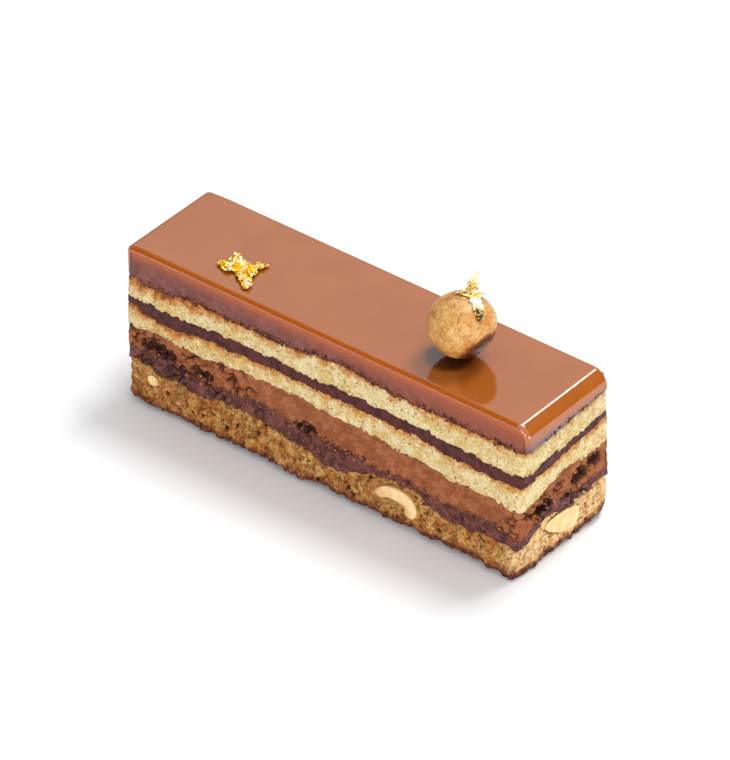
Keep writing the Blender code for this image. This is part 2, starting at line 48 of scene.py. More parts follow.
PIXELS = (730, 760)

# The cake's driving dimensions, the same as the solids'.
LENGTH = 110 * MM
WIDTH = 27.1 * MM
HEIGHT = 38.9 * MM
GLAZE = 1.2 * MM
RIGHT_RADIUS = 3.8 * MM
LEFT_RADIUS = 1.6 * MM
LEFT_DROOP = 0.3 * MM
DROOP_REACH = 7 * MM
END_ZONE = 6.4 * MM
END_LEVEL = 2.4 * MM  # the hills along the right end are full this far from it
# How far each wall stands out, in mm, at shares of the way from the top down to the foot.
FRONT_PROFILE = ((0, 0.0), (0.12, 0.1), (0.35, 0.9), (0.68, 1.4), (0.8, 2.0), (1.0, 3.0))
BACK_PROFILE = ((0, 0.0), (0.12, 0.3), (0.35, 1.2), (0.68, 2.0), (0.8, 2.7), (1.0, 3.4))
END_PROFILE = ((0, -0.7), (0.16, -0.8), (0.35, -0.95), (0.7, -1.2), (0.8, -1.3), (1.0, -1.8))
LEFT_PROFILE = ((0, -0.5), (0.35, -0.5), (0.6, -0.6), (0.7, -0.95), (0.8, -1.1), (1.0, -1.6))
# Each layer boundary: its heights in mm at even stations from the left end to the right, on the front
# and then on the back, and the hills across its right end (place, reach and height in mm).
BOUNDARIES = {
    "base_top": (
        (10.4, 9.6, 8.8, 9.8, 9.9, 8.1, 6.9, 9.8, 10.2, 7.3, 8.1, 7.3),
        (9.6, 9.4, 9.9, 9.7, 8.6, 8.2, 8.9, 10.2, 10.5, 9.6, 9.9, 10.4),
        ((-6.0, 6.0, 3.3),),
    ),
    "paste_top": (
        (12.8, 14.5, 12.9, 13.3, 14.3, 12.5, 12.2, 11.7, 11.7, 11.1, 11.7, 9.7),
        (12.4, 13.0, 13.9, 13.4, 12.3, 11.7, 12.0, 12.9, 13.4, 12.8, 12.4, 12.7),
        ((-4.0, 7.0, 3.0),),
    ),
    "praline_top": (
        (18.8, 19.4, 19.1, 20.1, 20.3, 20.4, 19.9, 19.3, 18.4, 17.8, 17.8, 17.0),
        (18.6, 19.0, 19.4, 19.0, 18.6, 18.9, 19.5, 19.9, 19.6, 19.2, 19.5, 19.8),
        ((-1.0, 8.0, 2.2),),
    ),
    "sponge_a_top": (
        (24.6, 22.4, 23.8, 24.3, 24.7, 24.4, 24.5, 24.7, 24.6, 23.6, 23.1, 23.8),
        (24.4, 23.9, 24.2, 24.6, 24.7, 24.4, 24.3, 24.7, 25.0, 25.3, 25.9, 26.5),
        (),
    ),
    "ganache_top": (
        (26.3, 26.1, 26.5, 27.0, 27.1, 26.8, 27.2, 27.1, 27.1, 26.7, 26.3, 26.2),
        (26.4, 26.3, 26.8, 27.1, 27.2, 27.0, 26.8, 27.0, 27.2, 27.4, 27.7, 27.9),
        (),
    ),
    "sponge_b_top": (
        (31.0, 30.7, 31.7, 31.6, 31.5, 32.2, 33.3, 32.3, 31.9, 32.1, 32.0, 32.2),
        (31.4, 31.8, 32.2, 32.0, 31.8, 32.4, 32.6, 32.3, 32.6, 33.0, 33.4, 34.0),
        (),
    ),
}
# Cut hazelnuts: face, place along it, height, radius, the hollow's radius and the way that it opens,
# stretch and lean. Sizes are in mm and turns in degrees.
CUT_NUTS = {
    "nut_front": ("front", 20.7, 5.6, 3.7, 2.1, 225, 1.45, 0),
    "nut_front_small": ("front", -46.6, 7.3, 1.3, 0.0, 0, 1.1, 0),
    "nut_end": ("right", -0.5, 7.1, 2.9, 0.0, 0, 2.15, -17),
    "nut_back": ("back", 22.0, 5.2, 4.0, 2.5, 300, 1.0, 0),
    "nut_left_end": ("left", 3.0, 4.5, 3.1, 1.8, 200, 1.2, 0),
}
NUT_DEPTH = 0.62  # how deep a cut nut is, as a share of its radius
FRONT_SEAT = 0.45 * MM  # the biscuit lies this far back in the front nut's open hollow
SEAT = 2.2 * MM  # and this far behind the other cut nuts
# Torn pockets in the praline and the paste: face, place, height, half length, half height and depth in mm.
VOIDS = (
    ("front", -46.0, 15.4, 5.0, 1.8, 1.8),
    ("front", -33.5, 14.6, 4.0, 1.4, 1.6),
    ("front", -4.0, 13.6, 3.4, 1.5, 1.6),
    ("right", -7.0, 14.6, 4.0, 1.9, 2.4),
    ("right", 5.6, 16.2, 2.6, 2.4, 2.4),
    ("right", 10.6, 17.0, 2.4, 2.2, 2.0),
    ("back", 12.0, 12.4, 6.0, 1.4, 2.0),
    ("back", -38.0, 12.2, 5.0, 1.4, 2.0),
    ("left", 4.0, 12.8, 4.5, 1.4, 2.0),
)
FACES = {"front": (0, -1), "right": (1, 0), "back": (0, 1), "left": (-1, 0)}
BOUNDARY_SEEDS = {name: 31 + 17 * i for i, name in enumerate(BOUNDARIES)}

# How fine the walls are modelled, and how the layers' meshes meet.
FINE = 0.24 * MM
RING_WIDTH = 30 * MM  # a middling width, which sets the number of points along an end
CORNER = 1.6 * MM  # the walls turn within this distance of a corner
SWELL = 2.5 * MM  # how much thicker than its mean a layer grows
GRIP = 0.08 * MM  # how far neighbouring layers reach into each other
MOUSSE_RECESS = 1.25 * MM  # the mousse's ends lie this far back, under the glaze
BISCUIT_HEIGHT = 8 * MM  # the base is about this high
BISCUIT_WALL = 11.5 * MM  # and its wall has points enough for this height
# A torn edge strays coarsely and finely: height and grain in mm, and what is added to its seed.
TEARS = ((0.80, 3.4, 0), (0.48, 1.1, 5))
# The caps have one face this far from each end, so that nothing stands out where the end is torn.
CAP_END = 3.2 * MM

DRAPE = 3.0 * MM  # how far the glaze hangs below its roundings
GLAZE_EDGE = 1.1 * MM  # the rounding along its front and back

# The whole hazelnut's radius, and the side of it that is painted darkest: partly its roasted skin, partly
# painted shade.
NUT_SIZE = 7.6 * MM
ROAST_AND_SHADE_SIDE = np.array(Vector((0.84, -0.12, -0.53)).normalized())
# The front nut's arch: where it starts and ends round the nut, in degrees, its thickness in mm, and how much
# larger, further right and further out than the solid it is.
ARCH = (-42, 178)
ARCH_BAND = 3.2
ARCH_MORE = 0.25

FOIL = 0.06 * MM
FLAKE_PLACE = np.array([-28.4 * MM, -5.8 * MM, HEIGHT + 0.3 * MM])
# The flake's outline seen from above: direction in degrees and distance from its middle in mm.
FLAKE_OUTLINE = (
    (0, 3.2), (28, 3.0), (54, 5.6), (80, 2.4), (110, 2.3), (145, 4.0), (172, 5.4), (197, 6.1), (222, 4.2),
    (250, 2.3), (285, 3.2), (317, 7.6), (338, 3.4), (360, 3.2),
)
FLAKE_PEAK = (-2.6, 0.9, 2.0)
# The ribbon's route in mm from the hazelnut's centre, up its flank, over its top, then standing free, and its
# width in mm at each stop.
RIBBON_ROUTE = (
    (5.7, -1.6, 4.4), (4.3, -0.1, 6.1), (2.1, 1.6, 7.1), (0.0, 2.9, 7.2), (0.1, 3.7, 9.2), (0.7, 4.3, 12.4),
)
RIBBON_WIDTHS = (0.9, 2.3, 2.4, 7.2, 2.3, 0.8)

# Loose crumbs along a boundary: how far below and above it in mm, number, smallest and largest size in mm,
# darkest and lightest tint.
CRUMB_LINES = (
    ("sponge_b_top", 0.5, 1.5, 620, 0.14, 0.34, 0.0, 0.75),
    ("sponge_a_top", 0.7, 0.3, 150, 0.12, 0.28, 0.0, 0.5),
    ("praline_top", 0.8, 0.4, 150, 0.12, 0.26, 0.2, 0.9),
    ("paste_top", 1.2, 1.4, 320, 0.14, 0.36, 0.0, 0.9),
)
CRUMB_CLEAR = 1.9 * MM  # no crumb hangs beside a corner

# The lamps: place in metres, height that each points at, length and width, and power in watts.
LAMPS = {
    "key": ((0.11, 0.54, 1.07), 0.02, (0.42, 0.42), 8.6),
    "rim": ((0.0, 0.63, 0.80), 0.03, (0.15, 0.15), 0.6),
    "edge_glow": ((-0.55, 0.33, 0.90), 0.03, (0.3, 0.16), 0.15),
    "end_fill": ((1.0, -0.12, 0.12), 0.02, (0.5, 0.2), 3.4),
    "front_fill": ((0.35, -1.1, 0.25), 0.02, (0.9, 0.4), 6.6),
}

# The solids were centred as a whole after modelling: the glaze shows by how much.
glaze_low, glaze_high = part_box("glaze")
SHIFT = np.array([(glaze_low[0] + glaze_high[0]) / 2, (glaze_low[1] + glaze_high[1]) / 2, 0.0])


def xyz(x, y, z):
    """Points with these coordinates, each an array or one number for all."""
    return np.stack(np.broadcast_arrays(x, y, z), axis=1)


# Vectorised noise.

def hashed(ix, iy, iz, seed):
    """A number from 0 to 1 for each cell of a lattice."""
    h = (ix * 374761393 + iy * 668265263 + iz * 2147483647 + seed * 1274126177) & 0xFFFFFFFF
    h = ((h ^ (h >> 13)) * 1274126177) & 0xFFFFFFFF
    h = ((h ^ (h >> 16)) * 2246822519) & 0xFFFFFFFF
    return ((h ^ (h >> 15)) & 0xFFFFFF) / float(0xFFFFFF)


def smooth_noise(points, grain, seed):
    """Gradient noise of about -1 to 1 at points, with lumps that are grain across."""
    q = points / grain + seed * 7.31
    cell = np.floor(q).astype(np.int64)
    part = q - cell
    fade = part**3 * (part * (part * 6 - 15) + 10)
    total = np.zeros(len(q))
    for corner in range(8):
        step = np.array([corner & 1, corner >> 1 & 1, corner >> 2 & 1])
        at = cell + step
        angle = hashed(*at.T, seed) * math.tau
        lift = hashed(*at.T, seed + 101) * 2 - 1
        flat = np.sqrt(1 - lift**2)
        away = part - step
        dot = (away[:, 0] * np.cos(angle) + away[:, 1] * np.sin(angle)) * flat + away[:, 2] * lift
        share = np.where(step, fade, 1 - fade)
        total += dot * share.prod(axis=1)
    return total * 1.7


def layered_noise(points, grain, seed, octaves=3, fall=0.5):
    total, size, most = 0.0, 1.0, 0.0
    for octave in range(octaves):
        total = total + size * smooth_noise(points, grain / 2**octave, seed + octave * 13)
        most += size
        size *= fall
    return total / most


def cells(points, grain, seed):
    """Distances to the two nearest scattered points, in grains, and a random number of the nearest."""
    q = points / grain + seed * 3.17
    cell = np.floor(q).astype(np.int64)
    nearest = np.full(len(q), 9.0)
    second = np.full(len(q), 9.0)
    name = np.zeros(len(q))
    for dx in (-1, 0, 1):
        for dy in (-1, 0, 1):
            for dz in (-1, 0, 1):
                at = cell + (dx, dy, dz)
                spot = np.stack([hashed(*at.T, seed + k) for k in (1, 2, 3)], axis=1) + at
                far = np.linalg.norm(spot - q, axis=1)
                closer = far < nearest
                second = np.where(closer, nearest, np.minimum(second, far))
                name = np.where(closer, hashed(*at.T, seed + 4), name)
                nearest = np.where(closer, far, nearest)
    return nearest, second, name


def smoothstep(low, high, value):
    share = np.clip((value - low) / (high - low), 0, 1)
    return share * share * (3 - 2 * share)


# The cake's form, vectorised from the solids' definitions.

def hills_at(hills, place):
    total = np.zeros_like(place)
    for centre, reach, height in hills:
        total += height * MM * np.exp(-(((place / MM - centre) / reach) ** 2))
    return total


def station_height(heights, x):
    """Height at places along the cake, on a smooth curve through the stations."""
    last = len(heights) - 1
    place = np.clip((x / LENGTH + 0.5) * last, 0, last)
    index = np.minimum(place.astype(int), last - 1)
    share = place - index
    table = np.array(heights)
    before, low, high, after = (table[np.clip(index + k, 0, last)] for k in (-1, 0, 1, 2))
    slope_in, slope_out = (high - before) / 2, (after - low) / 2
    squared, cubed = share**2, share**3
    curve = low * (2 * cubed - 3 * squared + 1) + high * (3 * squared - 2 * cubed)
    return (curve + slope_in * (cubed - 2 * squared + share) + slope_out * (cubed - squared)) * MM


def boundary(name, x, y):
    front, back, end = BOUNDARIES[name]
    share = np.clip(y / WIDTH + 0.5, 0, 1)
    height = station_height(front, x) * (1 - share) + station_height(back, x) * share
    ramp = np.clip((x - LENGTH / 2 + END_ZONE) / (END_ZONE - END_LEVEL), 0, 1)
    return height + ramp * hills_at(end, y)


def mean_height(name):
    front, back, _ = BOUNDARIES[name]
    return (sum(front) + sum(back)) / (len(front) + len(back)) * MM


def profile(table, z):
    down = np.clip(1 - z / HEIGHT, 0, 1)
    return np.interp(down, [row[0] for row in table], [row[1] for row in table]) * MM


def droop(x):
    from_rounding = np.maximum(0, x + LENGTH / 2 - LEFT_RADIUS)
    return LEFT_DROOP * np.maximum(0, 1 - from_rounding / DROOP_REACH) ** 2


def ring(step):
    """Points round the cake, counterclockwise: places of -1 to 1 along and across, faces, and the counts."""
    along, across = round(LENGTH / step), round(RING_WIDTH / step)
    s = np.linspace(-1, 1, along + 1)
    t = np.linspace(-1, 1, across + 1)
    places = [(v, -1.0, 0) for v in s[:-1]] + [(1.0, v, 1) for v in t[:-1]]
    places += [(v, 1.0, 2) for v in s[:0:-1]] + [(-1.0, v, 3) for v in t[:0:-1]]
    places = np.array(places)
    return places[:, 0], places[:, 1], places[:, 2].astype(int), along, across


def wall(z, s, t, ends):
    """Where the wall stands at heights z, its outward direction, and how near it is to a corner.

    ends is a fixed recess of the ends, or None for their profiles."""
    front, back = profile(FRONT_PROFILE, z), profile(BACK_PROFILE, z)
    end = np.where(s > 0, profile(END_PROFILE, z), profile(LEFT_PROFILE, z)) if ends is None else -ends
    x = s * (LENGTH / 2 + end)
    y = np.where(t < 0, t * (WIDTH / 2 + front), t * (WIDTH / 2 + back))
    near_x = smoothstep(LENGTH / 2 - CORNER, LENGTH / 2, np.abs(s) * LENGTH / 2)
    near_y = smoothstep(WIDTH / 2 - CORNER, WIDTH / 2, np.abs(t) * WIDTH / 2)
    out_x = np.where(np.abs(s) >= 1, 1.0, near_x * 0.7) * np.sign(s)
    out_y = np.where(np.abs(t) >= 1, 1.0, near_y * 0.7) * np.sign(t)
    length = np.hypot(out_x, out_y)
    return x, y, out_x / length, out_y / length, near_x * near_y


def voids_at(face, x, y, z, torn):
    """Depth of the open voids at wall points. torn, about -0.5 to 0.5, makes their outlines ragged."""
    depth = np.zeros_like(x)
    for name, centre, height, half_length, half_height, deep in VOIDS:
        index = list(FACES).index(name)
        place = (x if index in (0, 2) else y) / MM
        reach = ((place - centre) / half_length) ** 2 + ((z / MM - height) / half_height) ** 2 - 2.2 * torn
        depth = np.maximum(depth, np.where(face == index, deep * MM * np.clip(1 - reach, 0, 1), 0))
    return depth


def leant(across, up, lean):
    """Places turned by lean degrees."""
    cos, sin = math.cos(math.radians(lean)), math.sin(math.radians(lean))
    return across * cos - up * sin, across * sin + up * cos


def nut_distance(face, x, y, z):
    """Distance outside the nearest cut nut along the wall, negative on it."""
    far = np.full_like(x, 1.0)
    for name, centre, height, radius, _, _, stretch, lean in CUT_NUTS.values():
        index = list(FACES).index(name)
        place = (x if index in (0, 2) else y) / MM
        across, up = leant(place - centre, z / MM - height, -lean)
        gone = (np.hypot(across / stretch, up) - radius) * MM
        far = np.where(face == index, np.minimum(far, gone), far)
    return far


# Making objects.

def make_object(name, points, faces, material, masks, smooth=True):
    mesh = bpy.data.meshes.new(name)
    points = np.asarray(points) + SHIFT
    mesh.from_pydata(points.tolist(), [], faces)
    for key, values in masks.items():
        layer = mesh.attributes.new(key, "FLOAT", "POINT")
        layer.data.foreach_set("value", np.asarray(values, dtype=np.float32))
    mesh.materials.append(material)
    if smooth:
        mesh.shade_smooth()
    obj = bpy.data.objects.new(name, mesh)
    bpy.context.scene.collection.objects.link(obj)
    return obj


def declare(obj, slot, *nodes):
    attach(obj, "root")
    if nodes:
        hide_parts(*nodes)


def wall_faces(rows, count):
    """Quads between rings of count points each, one ring more than there are rows."""
    faces = []
    for row in range(rows):
        first, above = row * count, (row + 1) * count
        for i in range(count):
            j = (i + 1) % count
            faces.append((first + i, first + j, above + j, above + i))
    return faces


def tube_faces(rings, count):
    """Faces of a closed tube of rings of count points each."""
    last = (rings - 1) * count
    return wall_faces(rings - 1, count) + [tuple(range(count))[::-1], tuple(range(last, last + count))]


def block_faces(rows, count, along, across):
    """Faces of a block: round the wall, then strips across top and bottom with one face at each end."""
    faces = wall_faces(rows, count)
    short = round(CAP_END / FINE)
    for row, turned in ((0, True), (rows, False)):
        start = row * count
        back = along + across
        for i in range(short, along - short):
            strip = (start + i, start + i + 1, start + (back + along - i - 1), start + (back + along - i))
            faces.append(strip[::-1] if turned else strip)
        right = [start + along + k for k in range(-short, across + short + 1)]
        left = [start + (back + along + k) % count for k in range(-short, across + short + 1)]
        for side in (right, left):
            faces.append(tuple(side[::-1]) if turned else tuple(side))
    return faces


def torn_edge(name, x, y):
    """How far a layer's edge, torn by the knife, strays up or down."""
    spots = xyz(x, y, 0.0)
    seed = BOUNDARY_SEEDS[name]
    return sum(height * layered_noise(spots, grain * MM, seed + more) for height, grain, more in TEARS) * MM


def layer_mesh(lower, upper, relief, recess, corner_cut):
    """A layer's points, its faces and its material's masks. relief(points, face) moves its wall."""
    s, t, face, along, across = ring(FINE)
    count = len(s)
    mean_low = mean_height(lower)
    mean_high = HEIGHT if upper == "glaze" else mean_height(upper)
    rows = round((mean_high - mean_low + SWELL) / FINE)
    share = np.repeat(np.linspace(0, 1, rows + 1), count)
    s, t, face = (np.tile(v, rows + 1) for v in (s, t, face))
    level = mean_low + (mean_high - mean_low) * share
    x, y, *_ = wall(level, s, t, recess)
    low = boundary(lower, x, y) + torn_edge(lower, x, y) - GRIP
    if upper == "glaze":
        high = HEIGHT - droop(x) - GLAZE * 0.9
    else:
        high = boundary(upper, x, y) + torn_edge(upper, x, y) + GRIP
    z = low + (high - low) * share
    x, y, out_x, out_y, corner = wall(z, s, t, recess)
    points = xyz(x, y, z)
    push, masks = relief(points, face)
    push = push * (1 - 0.8 * corner) - corner_cut * corner
    x, y = x + out_x * push, y + out_y * push
    points = xyz(x, y, z)
    masks["to_top"] = (high - z) / MM
    masks["to_floor"] = (z - low) / MM
    masks["along"] = x / LENGTH + 0.5
    return points, block_faces(rows, count, along, across), masks


def sponge_relief(seed):
    """Soft waves with open pores of two sizes."""
    def relief(points, face):
        waves = layered_noise(points, 3.0 * MM, seed) * 0.32 * MM
        fine = layered_noise(points, 0.8 * MM, seed + 5, 2) * 0.13 * MM
        near, _, name = cells(points, 1.25 * MM, seed + 9)
        pit = smoothstep(0.34, 0.08, near) * (name > 0.66)
        near, _, name = cells(points, 0.62 * MM, seed + 12)
        small = smoothstep(0.40, 0.10, near) * (name > 0.58)
        push = waves + fine - 0.40 * MM * pit - 0.17 * MM * small
        # Painted shade: the pores are painted darker.
        return push, {"pit": np.maximum(pit, 0.6 * small)}
    return relief


def cream_relief(seed, waves_mm, grains_mm, voids=False):
    """Waves and grains of these heights, torn into lumps and pockets where voids is set."""
    def relief(points, face):
        waves = layered_noise(points, 3.4 * MM, seed) * waves_mm * MM
        near, _, name = cells(points, 0.7 * MM, seed + 3)
        grains = (0.5 - near) * grains_mm * MM * (0.4 + name)
        pit = smoothstep(0.3, 0.05, near) * (name > 0.8)
        push = waves + grains - 0.25 * MM * pit * (grains_mm > 0.1)
        # Painted shade: the pits are painted darker.
        masks = {"pit": pit}
        if voids:
            torn = layered_noise(points, 1.6 * MM, 444, 4, 0.65)
            depth = voids_at(face, *points.T, torn)
            to_left = smoothstep(-6 * MM, -26 * MM, points[:, 0])
            to_right = smoothstep(47 * MM, 54 * MM, points[:, 0])
            crumbly = 0.25 + 0.75 * np.maximum(to_left, to_right)
            near, second, _ = cells(points * (1, 1, 1.25), 2.3 * MM, 452)
            crevice = smoothstep(0.30, 0.04, second - near + 0.25 * torn) * crumbly
            crevice = crevice * smoothstep(-0.12, 0.18, layered_noise(points, 5.5 * MM, 461, 2))
            lump = (0.5 - near) * 0.75 * MM * crumbly
            push = push + lump - depth - 0.75 * MM * crevice
            # Painted shade: the torn pockets are darkened by their depth.
            masks["void_shade"] = np.clip(depth / (1.1 * MM), 0, 1)
            # Painted shade: the cracks are painted dark.
            masks["crevice"] = crevice
        return push, masks
    return relief


def crumb_relief(seed):
    """Chunks, lumps, crumbs and holes, calm beside the cut nuts and sunk behind them."""
    def relief(points, face):
        far = nut_distance(face, *points.T)
        calm = smoothstep(0.1 * MM, 1.4 * MM, far)
        chunks = layered_noise(points, 5.0 * MM, seed) * 0.75 * MM
        near, _, name = cells(points, 1.7 * MM, seed + 3)
        lumps = (0.55 - near) * 0.85 * MM * (0.5 + name)
        near_b, _, name_b = cells(points, 0.75 * MM, seed + 6)
        crumbs = (0.5 - near_b) * 0.40 * MM * (0.3 + name_b)
        near_c, _, name_c = cells(points, 2.1 * MM, seed + 11)
        hole = smoothstep(0.38, 0.1, near_c) * (name_c > 0.62)
        push = (chunks + lumps) * calm + crumbs - 0.9 * MM * hole * calm
        push = push - np.where(face == 0, FRONT_SEAT, SEAT) * smoothstep(0.0, -0.4 * MM, far)
        # Painted shade: holes and the gaps between crumbs are painted darker.
        pit = np.maximum(hole * calm, smoothstep(0.5, 0.75, near_b) * 0.6)
        return push, {"pit": pit, "grain": name}
    return relief


# Materials.

class Graph:
    """Adds nodes to a node tree."""

    def __init__(self, tree):
        self.tree = tree

    def link(self, value, socket):
        if hasattr(value, "is_linked"):
            self.tree.links.new(value, socket)
        else:
            socket.default_value = value

    def math(self, operation, a, b=0.0):
        node = self.tree.nodes.new("ShaderNodeMath")
        node.operation = operation
        self.link(a, node.inputs[0])
        self.link(b, node.inputs[1])
        return node.outputs[0]

    def add(self, a, b):
        return self.math("ADD", a, b)

    def times(self, a, b):
        return self.math("MULTIPLY", a, b)

    def span(self, value, low, high, to_low=0.0, to_high=1.0):
        """A number that goes smoothly from to_low to to_high as the value goes from low to high."""
        node = self.tree.nodes.new("ShaderNodeMapRange")
        node.interpolation_type = "SMOOTHSTEP"
        self.link(value, node.inputs["Value"])
        for key, number in zip(("From Min", "From Max", "To Min", "To Max"), (low, high, to_low, to_high)):
            node.inputs[key].default_value = number
        return node.outputs["Result"]


class Nodes(Graph):
    """A material that is built up in coats of colour. Its coordinates are in millimetres."""

    def __init__(self, name):
        self.material = bpy.data.materials.new(name)
        self.material.use_nodes = True
        super().__init__(self.material.node_tree)
        self.shader = self.tree.nodes["Principled BSDF"]
        self.color = None
        place = self.tree.nodes.new("ShaderNodeTexCoord")
        scale = self.tree.nodes.new("ShaderNodeVectorMath")
        scale.operation = "SCALE"
        scale.inputs["Scale"].default_value = 1 / MM
        self.tree.links.new(place.outputs["Object"], scale.inputs[0])
        self.where = scale.outputs[0]

    def noise(self, grain, detail=4.0, roughness=0.55, distortion=0.0):
        node = self.tree.nodes.new("ShaderNodeTexNoise")
        self.tree.links.new(self.where, node.inputs["Vector"])
        node.inputs["Scale"].default_value = 1 / grain
        node.inputs["Detail"].default_value = detail
        node.inputs["Roughness"].default_value = roughness
        node.inputs["Distortion"].default_value = distortion
        return node.outputs["Fac"]

    def voronoi(self, grain):
        node = self.tree.nodes.new("ShaderNodeTexVoronoi")
        self.tree.links.new(self.where, node.inputs["Vector"])
        node.inputs["Scale"].default_value = 1 / grain
        return node.outputs["Distance"]

    def attribute(self, name):
        node = self.tree.nodes.new("ShaderNodeAttribute")
        node.attribute_name = name
        return node.outputs["Fac"]

    def mix(self, share, a, b, blend="MIX"):
        node = self.tree.nodes.new("ShaderNodeMix")
        node.data_type = "RGBA"
        node.blend_type = blend
        self.link(share, node.inputs["Factor"])
        self.link(self.rgba(a), node.inputs["A"])
        self.link(self.rgba(b), node.inputs["B"])
        return node.outputs["Result"]

    def rgba(self, color):
        return (*color, 1.0) if isinstance(color, tuple) and len(color) == 3 else color

    def ground(self, value, low, high, first, last):
        """The first coat, from one display colour to another as the value goes from low to high."""
        self.color = self.mix(self.span(value, low, high), srgb(*first), srgb(*last))

    def cover(self, value, low, high, share, tint):
        """Lays a display colour over the coats, up to this share as the value goes from low to high."""
        self.color = self.mix(self.span(value, low, high, 0, share), self.color, srgb(*tint))

    def stray(self, noise, reach):
        """The noise's distance from its middle, times reach."""
        return self.times(self.math("SUBTRACT", noise, 0.5), reach)

    def rough_edge(self, attribute, grain, reach):
        """Distance from an edge in mm, made uneven: reach is how far the unevenness runs."""
        shift = self.stray(self.noise(grain, 4, 0.65), reach)
        return self.add(self.attribute(attribute), shift)

    def bump(self, height, strength, distance):
        node = self.tree.nodes.new("ShaderNodeBump")
        node.inputs["Strength"].default_value = strength
        node.inputs["Distance"].default_value = distance * MM
        self.link(height, node.inputs["Height"])
        self.tree.links.new(node.outputs["Normal"], self.shader.inputs["Normal"])

    def finish(self, roughness, tone=(1, 1, 1), **fixed):
        """Sets the shader. tone scales the whole colour."""
        self.link(self.mix(1.0, self.color, tone, "MULTIPLY"), self.shader.inputs["Base Color"])
        self.link(roughness, self.shader.inputs["Roughness"])
        for key, value in fixed.items():
            self.shader.inputs[key.replace("_", " ")].default_value = value
        return self.material


def srgb(red, green, blue):
    """Linear colour from display values of 0 to 255."""
    shares = (value / 255 for value in (red, green, blue))
    return tuple(((share + 0.055) / 1.055) ** 2.4 if share > 0.04 else share / 12.92 for share in shares)


def sponge_material():
    n = Nodes("sponge_crumb")
    fine = n.noise(0.45, 4, 0.7)
    n.ground(n.noise(2.6, 3), 0.38, 0.62, (232, 198, 122), (244, 228, 168))
    # Painted shade: olive patches stand for shaded crumb.
    n.cover(n.noise(1.1, 4, 0.6), 0.54, 0.68, 0.7, (206, 184, 112))
    n.cover(n.noise(1.9, 4, 0.7, 0.6), 0.53, 0.66, 0.85, (222, 160, 74))
    n.cover(n.noise(0.8, 3, 0.6), 0.56, 0.70, 0.7, (255, 246, 206))
    n.cover(fine, 0.46, 0.33, 0.85, (172, 120, 50))
    patch = n.noise(4.5, 3, 0.6)
    top = n.add(n.rough_edge("to_top", 1.0, 5.0), n.stray(patch, 6.0))
    top = n.add(top, n.span(n.attribute("along"), 0.0, 0.4, -1.2, 0.0))
    n.cover(top, 1.9, 0.4, 0.85, (214, 140, 58))
    n.cover(top, 0.4, -0.7, 0.8, (160, 82, 34))
    n.cover(top, -0.6, -1.6, 0.7, (90, 38, 22))
    low = n.rough_edge("to_floor", 1.0, 3.6)
    n.cover(low, 0.4, -0.7, 0.7, (186, 116, 56))
    # Painted shade in the pores.
    n.cover(n.attribute("pit"), 0.2, 0.9, 0.85, (132, 84, 34))
    specks = n.voronoi(0.8)
    n.cover(specks, 0.17, 0.09, 0.6, (104, 72, 30))
    n.bump(n.add(n.noise(0.4, 5, 0.7), n.times(n.voronoi(0.45), 0.7)), 0.85, 0.22)
    return n.finish(
        0.85, (0.84, 0.84, 0.94), Specular_IOR_Level=0.25, Subsurface_Weight=0.1, Subsurface_Scale=0.8 * MM
    )


def biscuit_material():
    n = Nodes("nut_biscuit_crumb")
    fine = n.noise(0.55, 5, 0.7)
    n.ground(n.noise(3.4, 3), 0.38, 0.62, (186, 136, 70), (224, 190, 124))
    n.cover(n.attribute("grain"), 0.62, 0.9, 0.7, (238, 214, 156))
    n.cover(n.attribute("grain"), 0.28, 0.08, 0.6, (176, 104, 36))
    n.cover(n.noise(2.2, 3, 0.6, 0.5), 0.55, 0.66, 0.8, (206, 124, 30))
    n.cover(fine, 0.54, 0.68, 0.8, (244, 226, 178))
    n.cover(fine, 0.47, 0.34, 0.9, (104, 58, 24))
    n.cover(n.noise(3.6, 4, 0.7, 0.5), 0.53, 0.64, 0.6, (122, 76, 30))
    lumps = n.span(n.noise(1.5, 4, 0.65, 0.4), 0.36, 0.56, 0.3, 1.0)
    golden = n.span(n.noise(1.1, 4, 0.65), 0.56, 0.66, 0, 0.7)
    # Painted light: the right end's crumb is painted paler, for the extra light that falls on that end, so
    # its colour is over 1 before the tone scales it; its golden spots are the crumb's own.
    n.color = n.mix(n.times(n.attribute("end"), lumps), n.color, (1.08, 1.00, 0.74))
    n.color = n.mix(n.times(n.attribute("end"), golden), n.color, srgb(226, 150, 40))
    crust = n.rough_edge("height_mm", 1.6, 4.2)
    n.cover(crust, 2.6, 1.5, 0.85, (150, 86, 52))
    n.cover(crust, 1.8, 0.7, 0.92, (104, 54, 44))
    n.cover(crust, 0.6, -0.3, 0.7, (62, 28, 24))
    # Painted shade in the holes and between the crumbs.
    n.cover(n.attribute("pit"), 0.25, 0.8, 0.92, (58, 28, 14))
    n.bump(n.add(n.noise(0.5, 5, 0.7), n.times(n.voronoi(0.5), 0.9)), 0.85, 0.26)
    return n.finish(
        0.75, (0.74, 0.54, 0.34), Specular_IOR_Level=0.3, Subsurface_Weight=0.06, Subsurface_Scale=0.8 * MM
    )


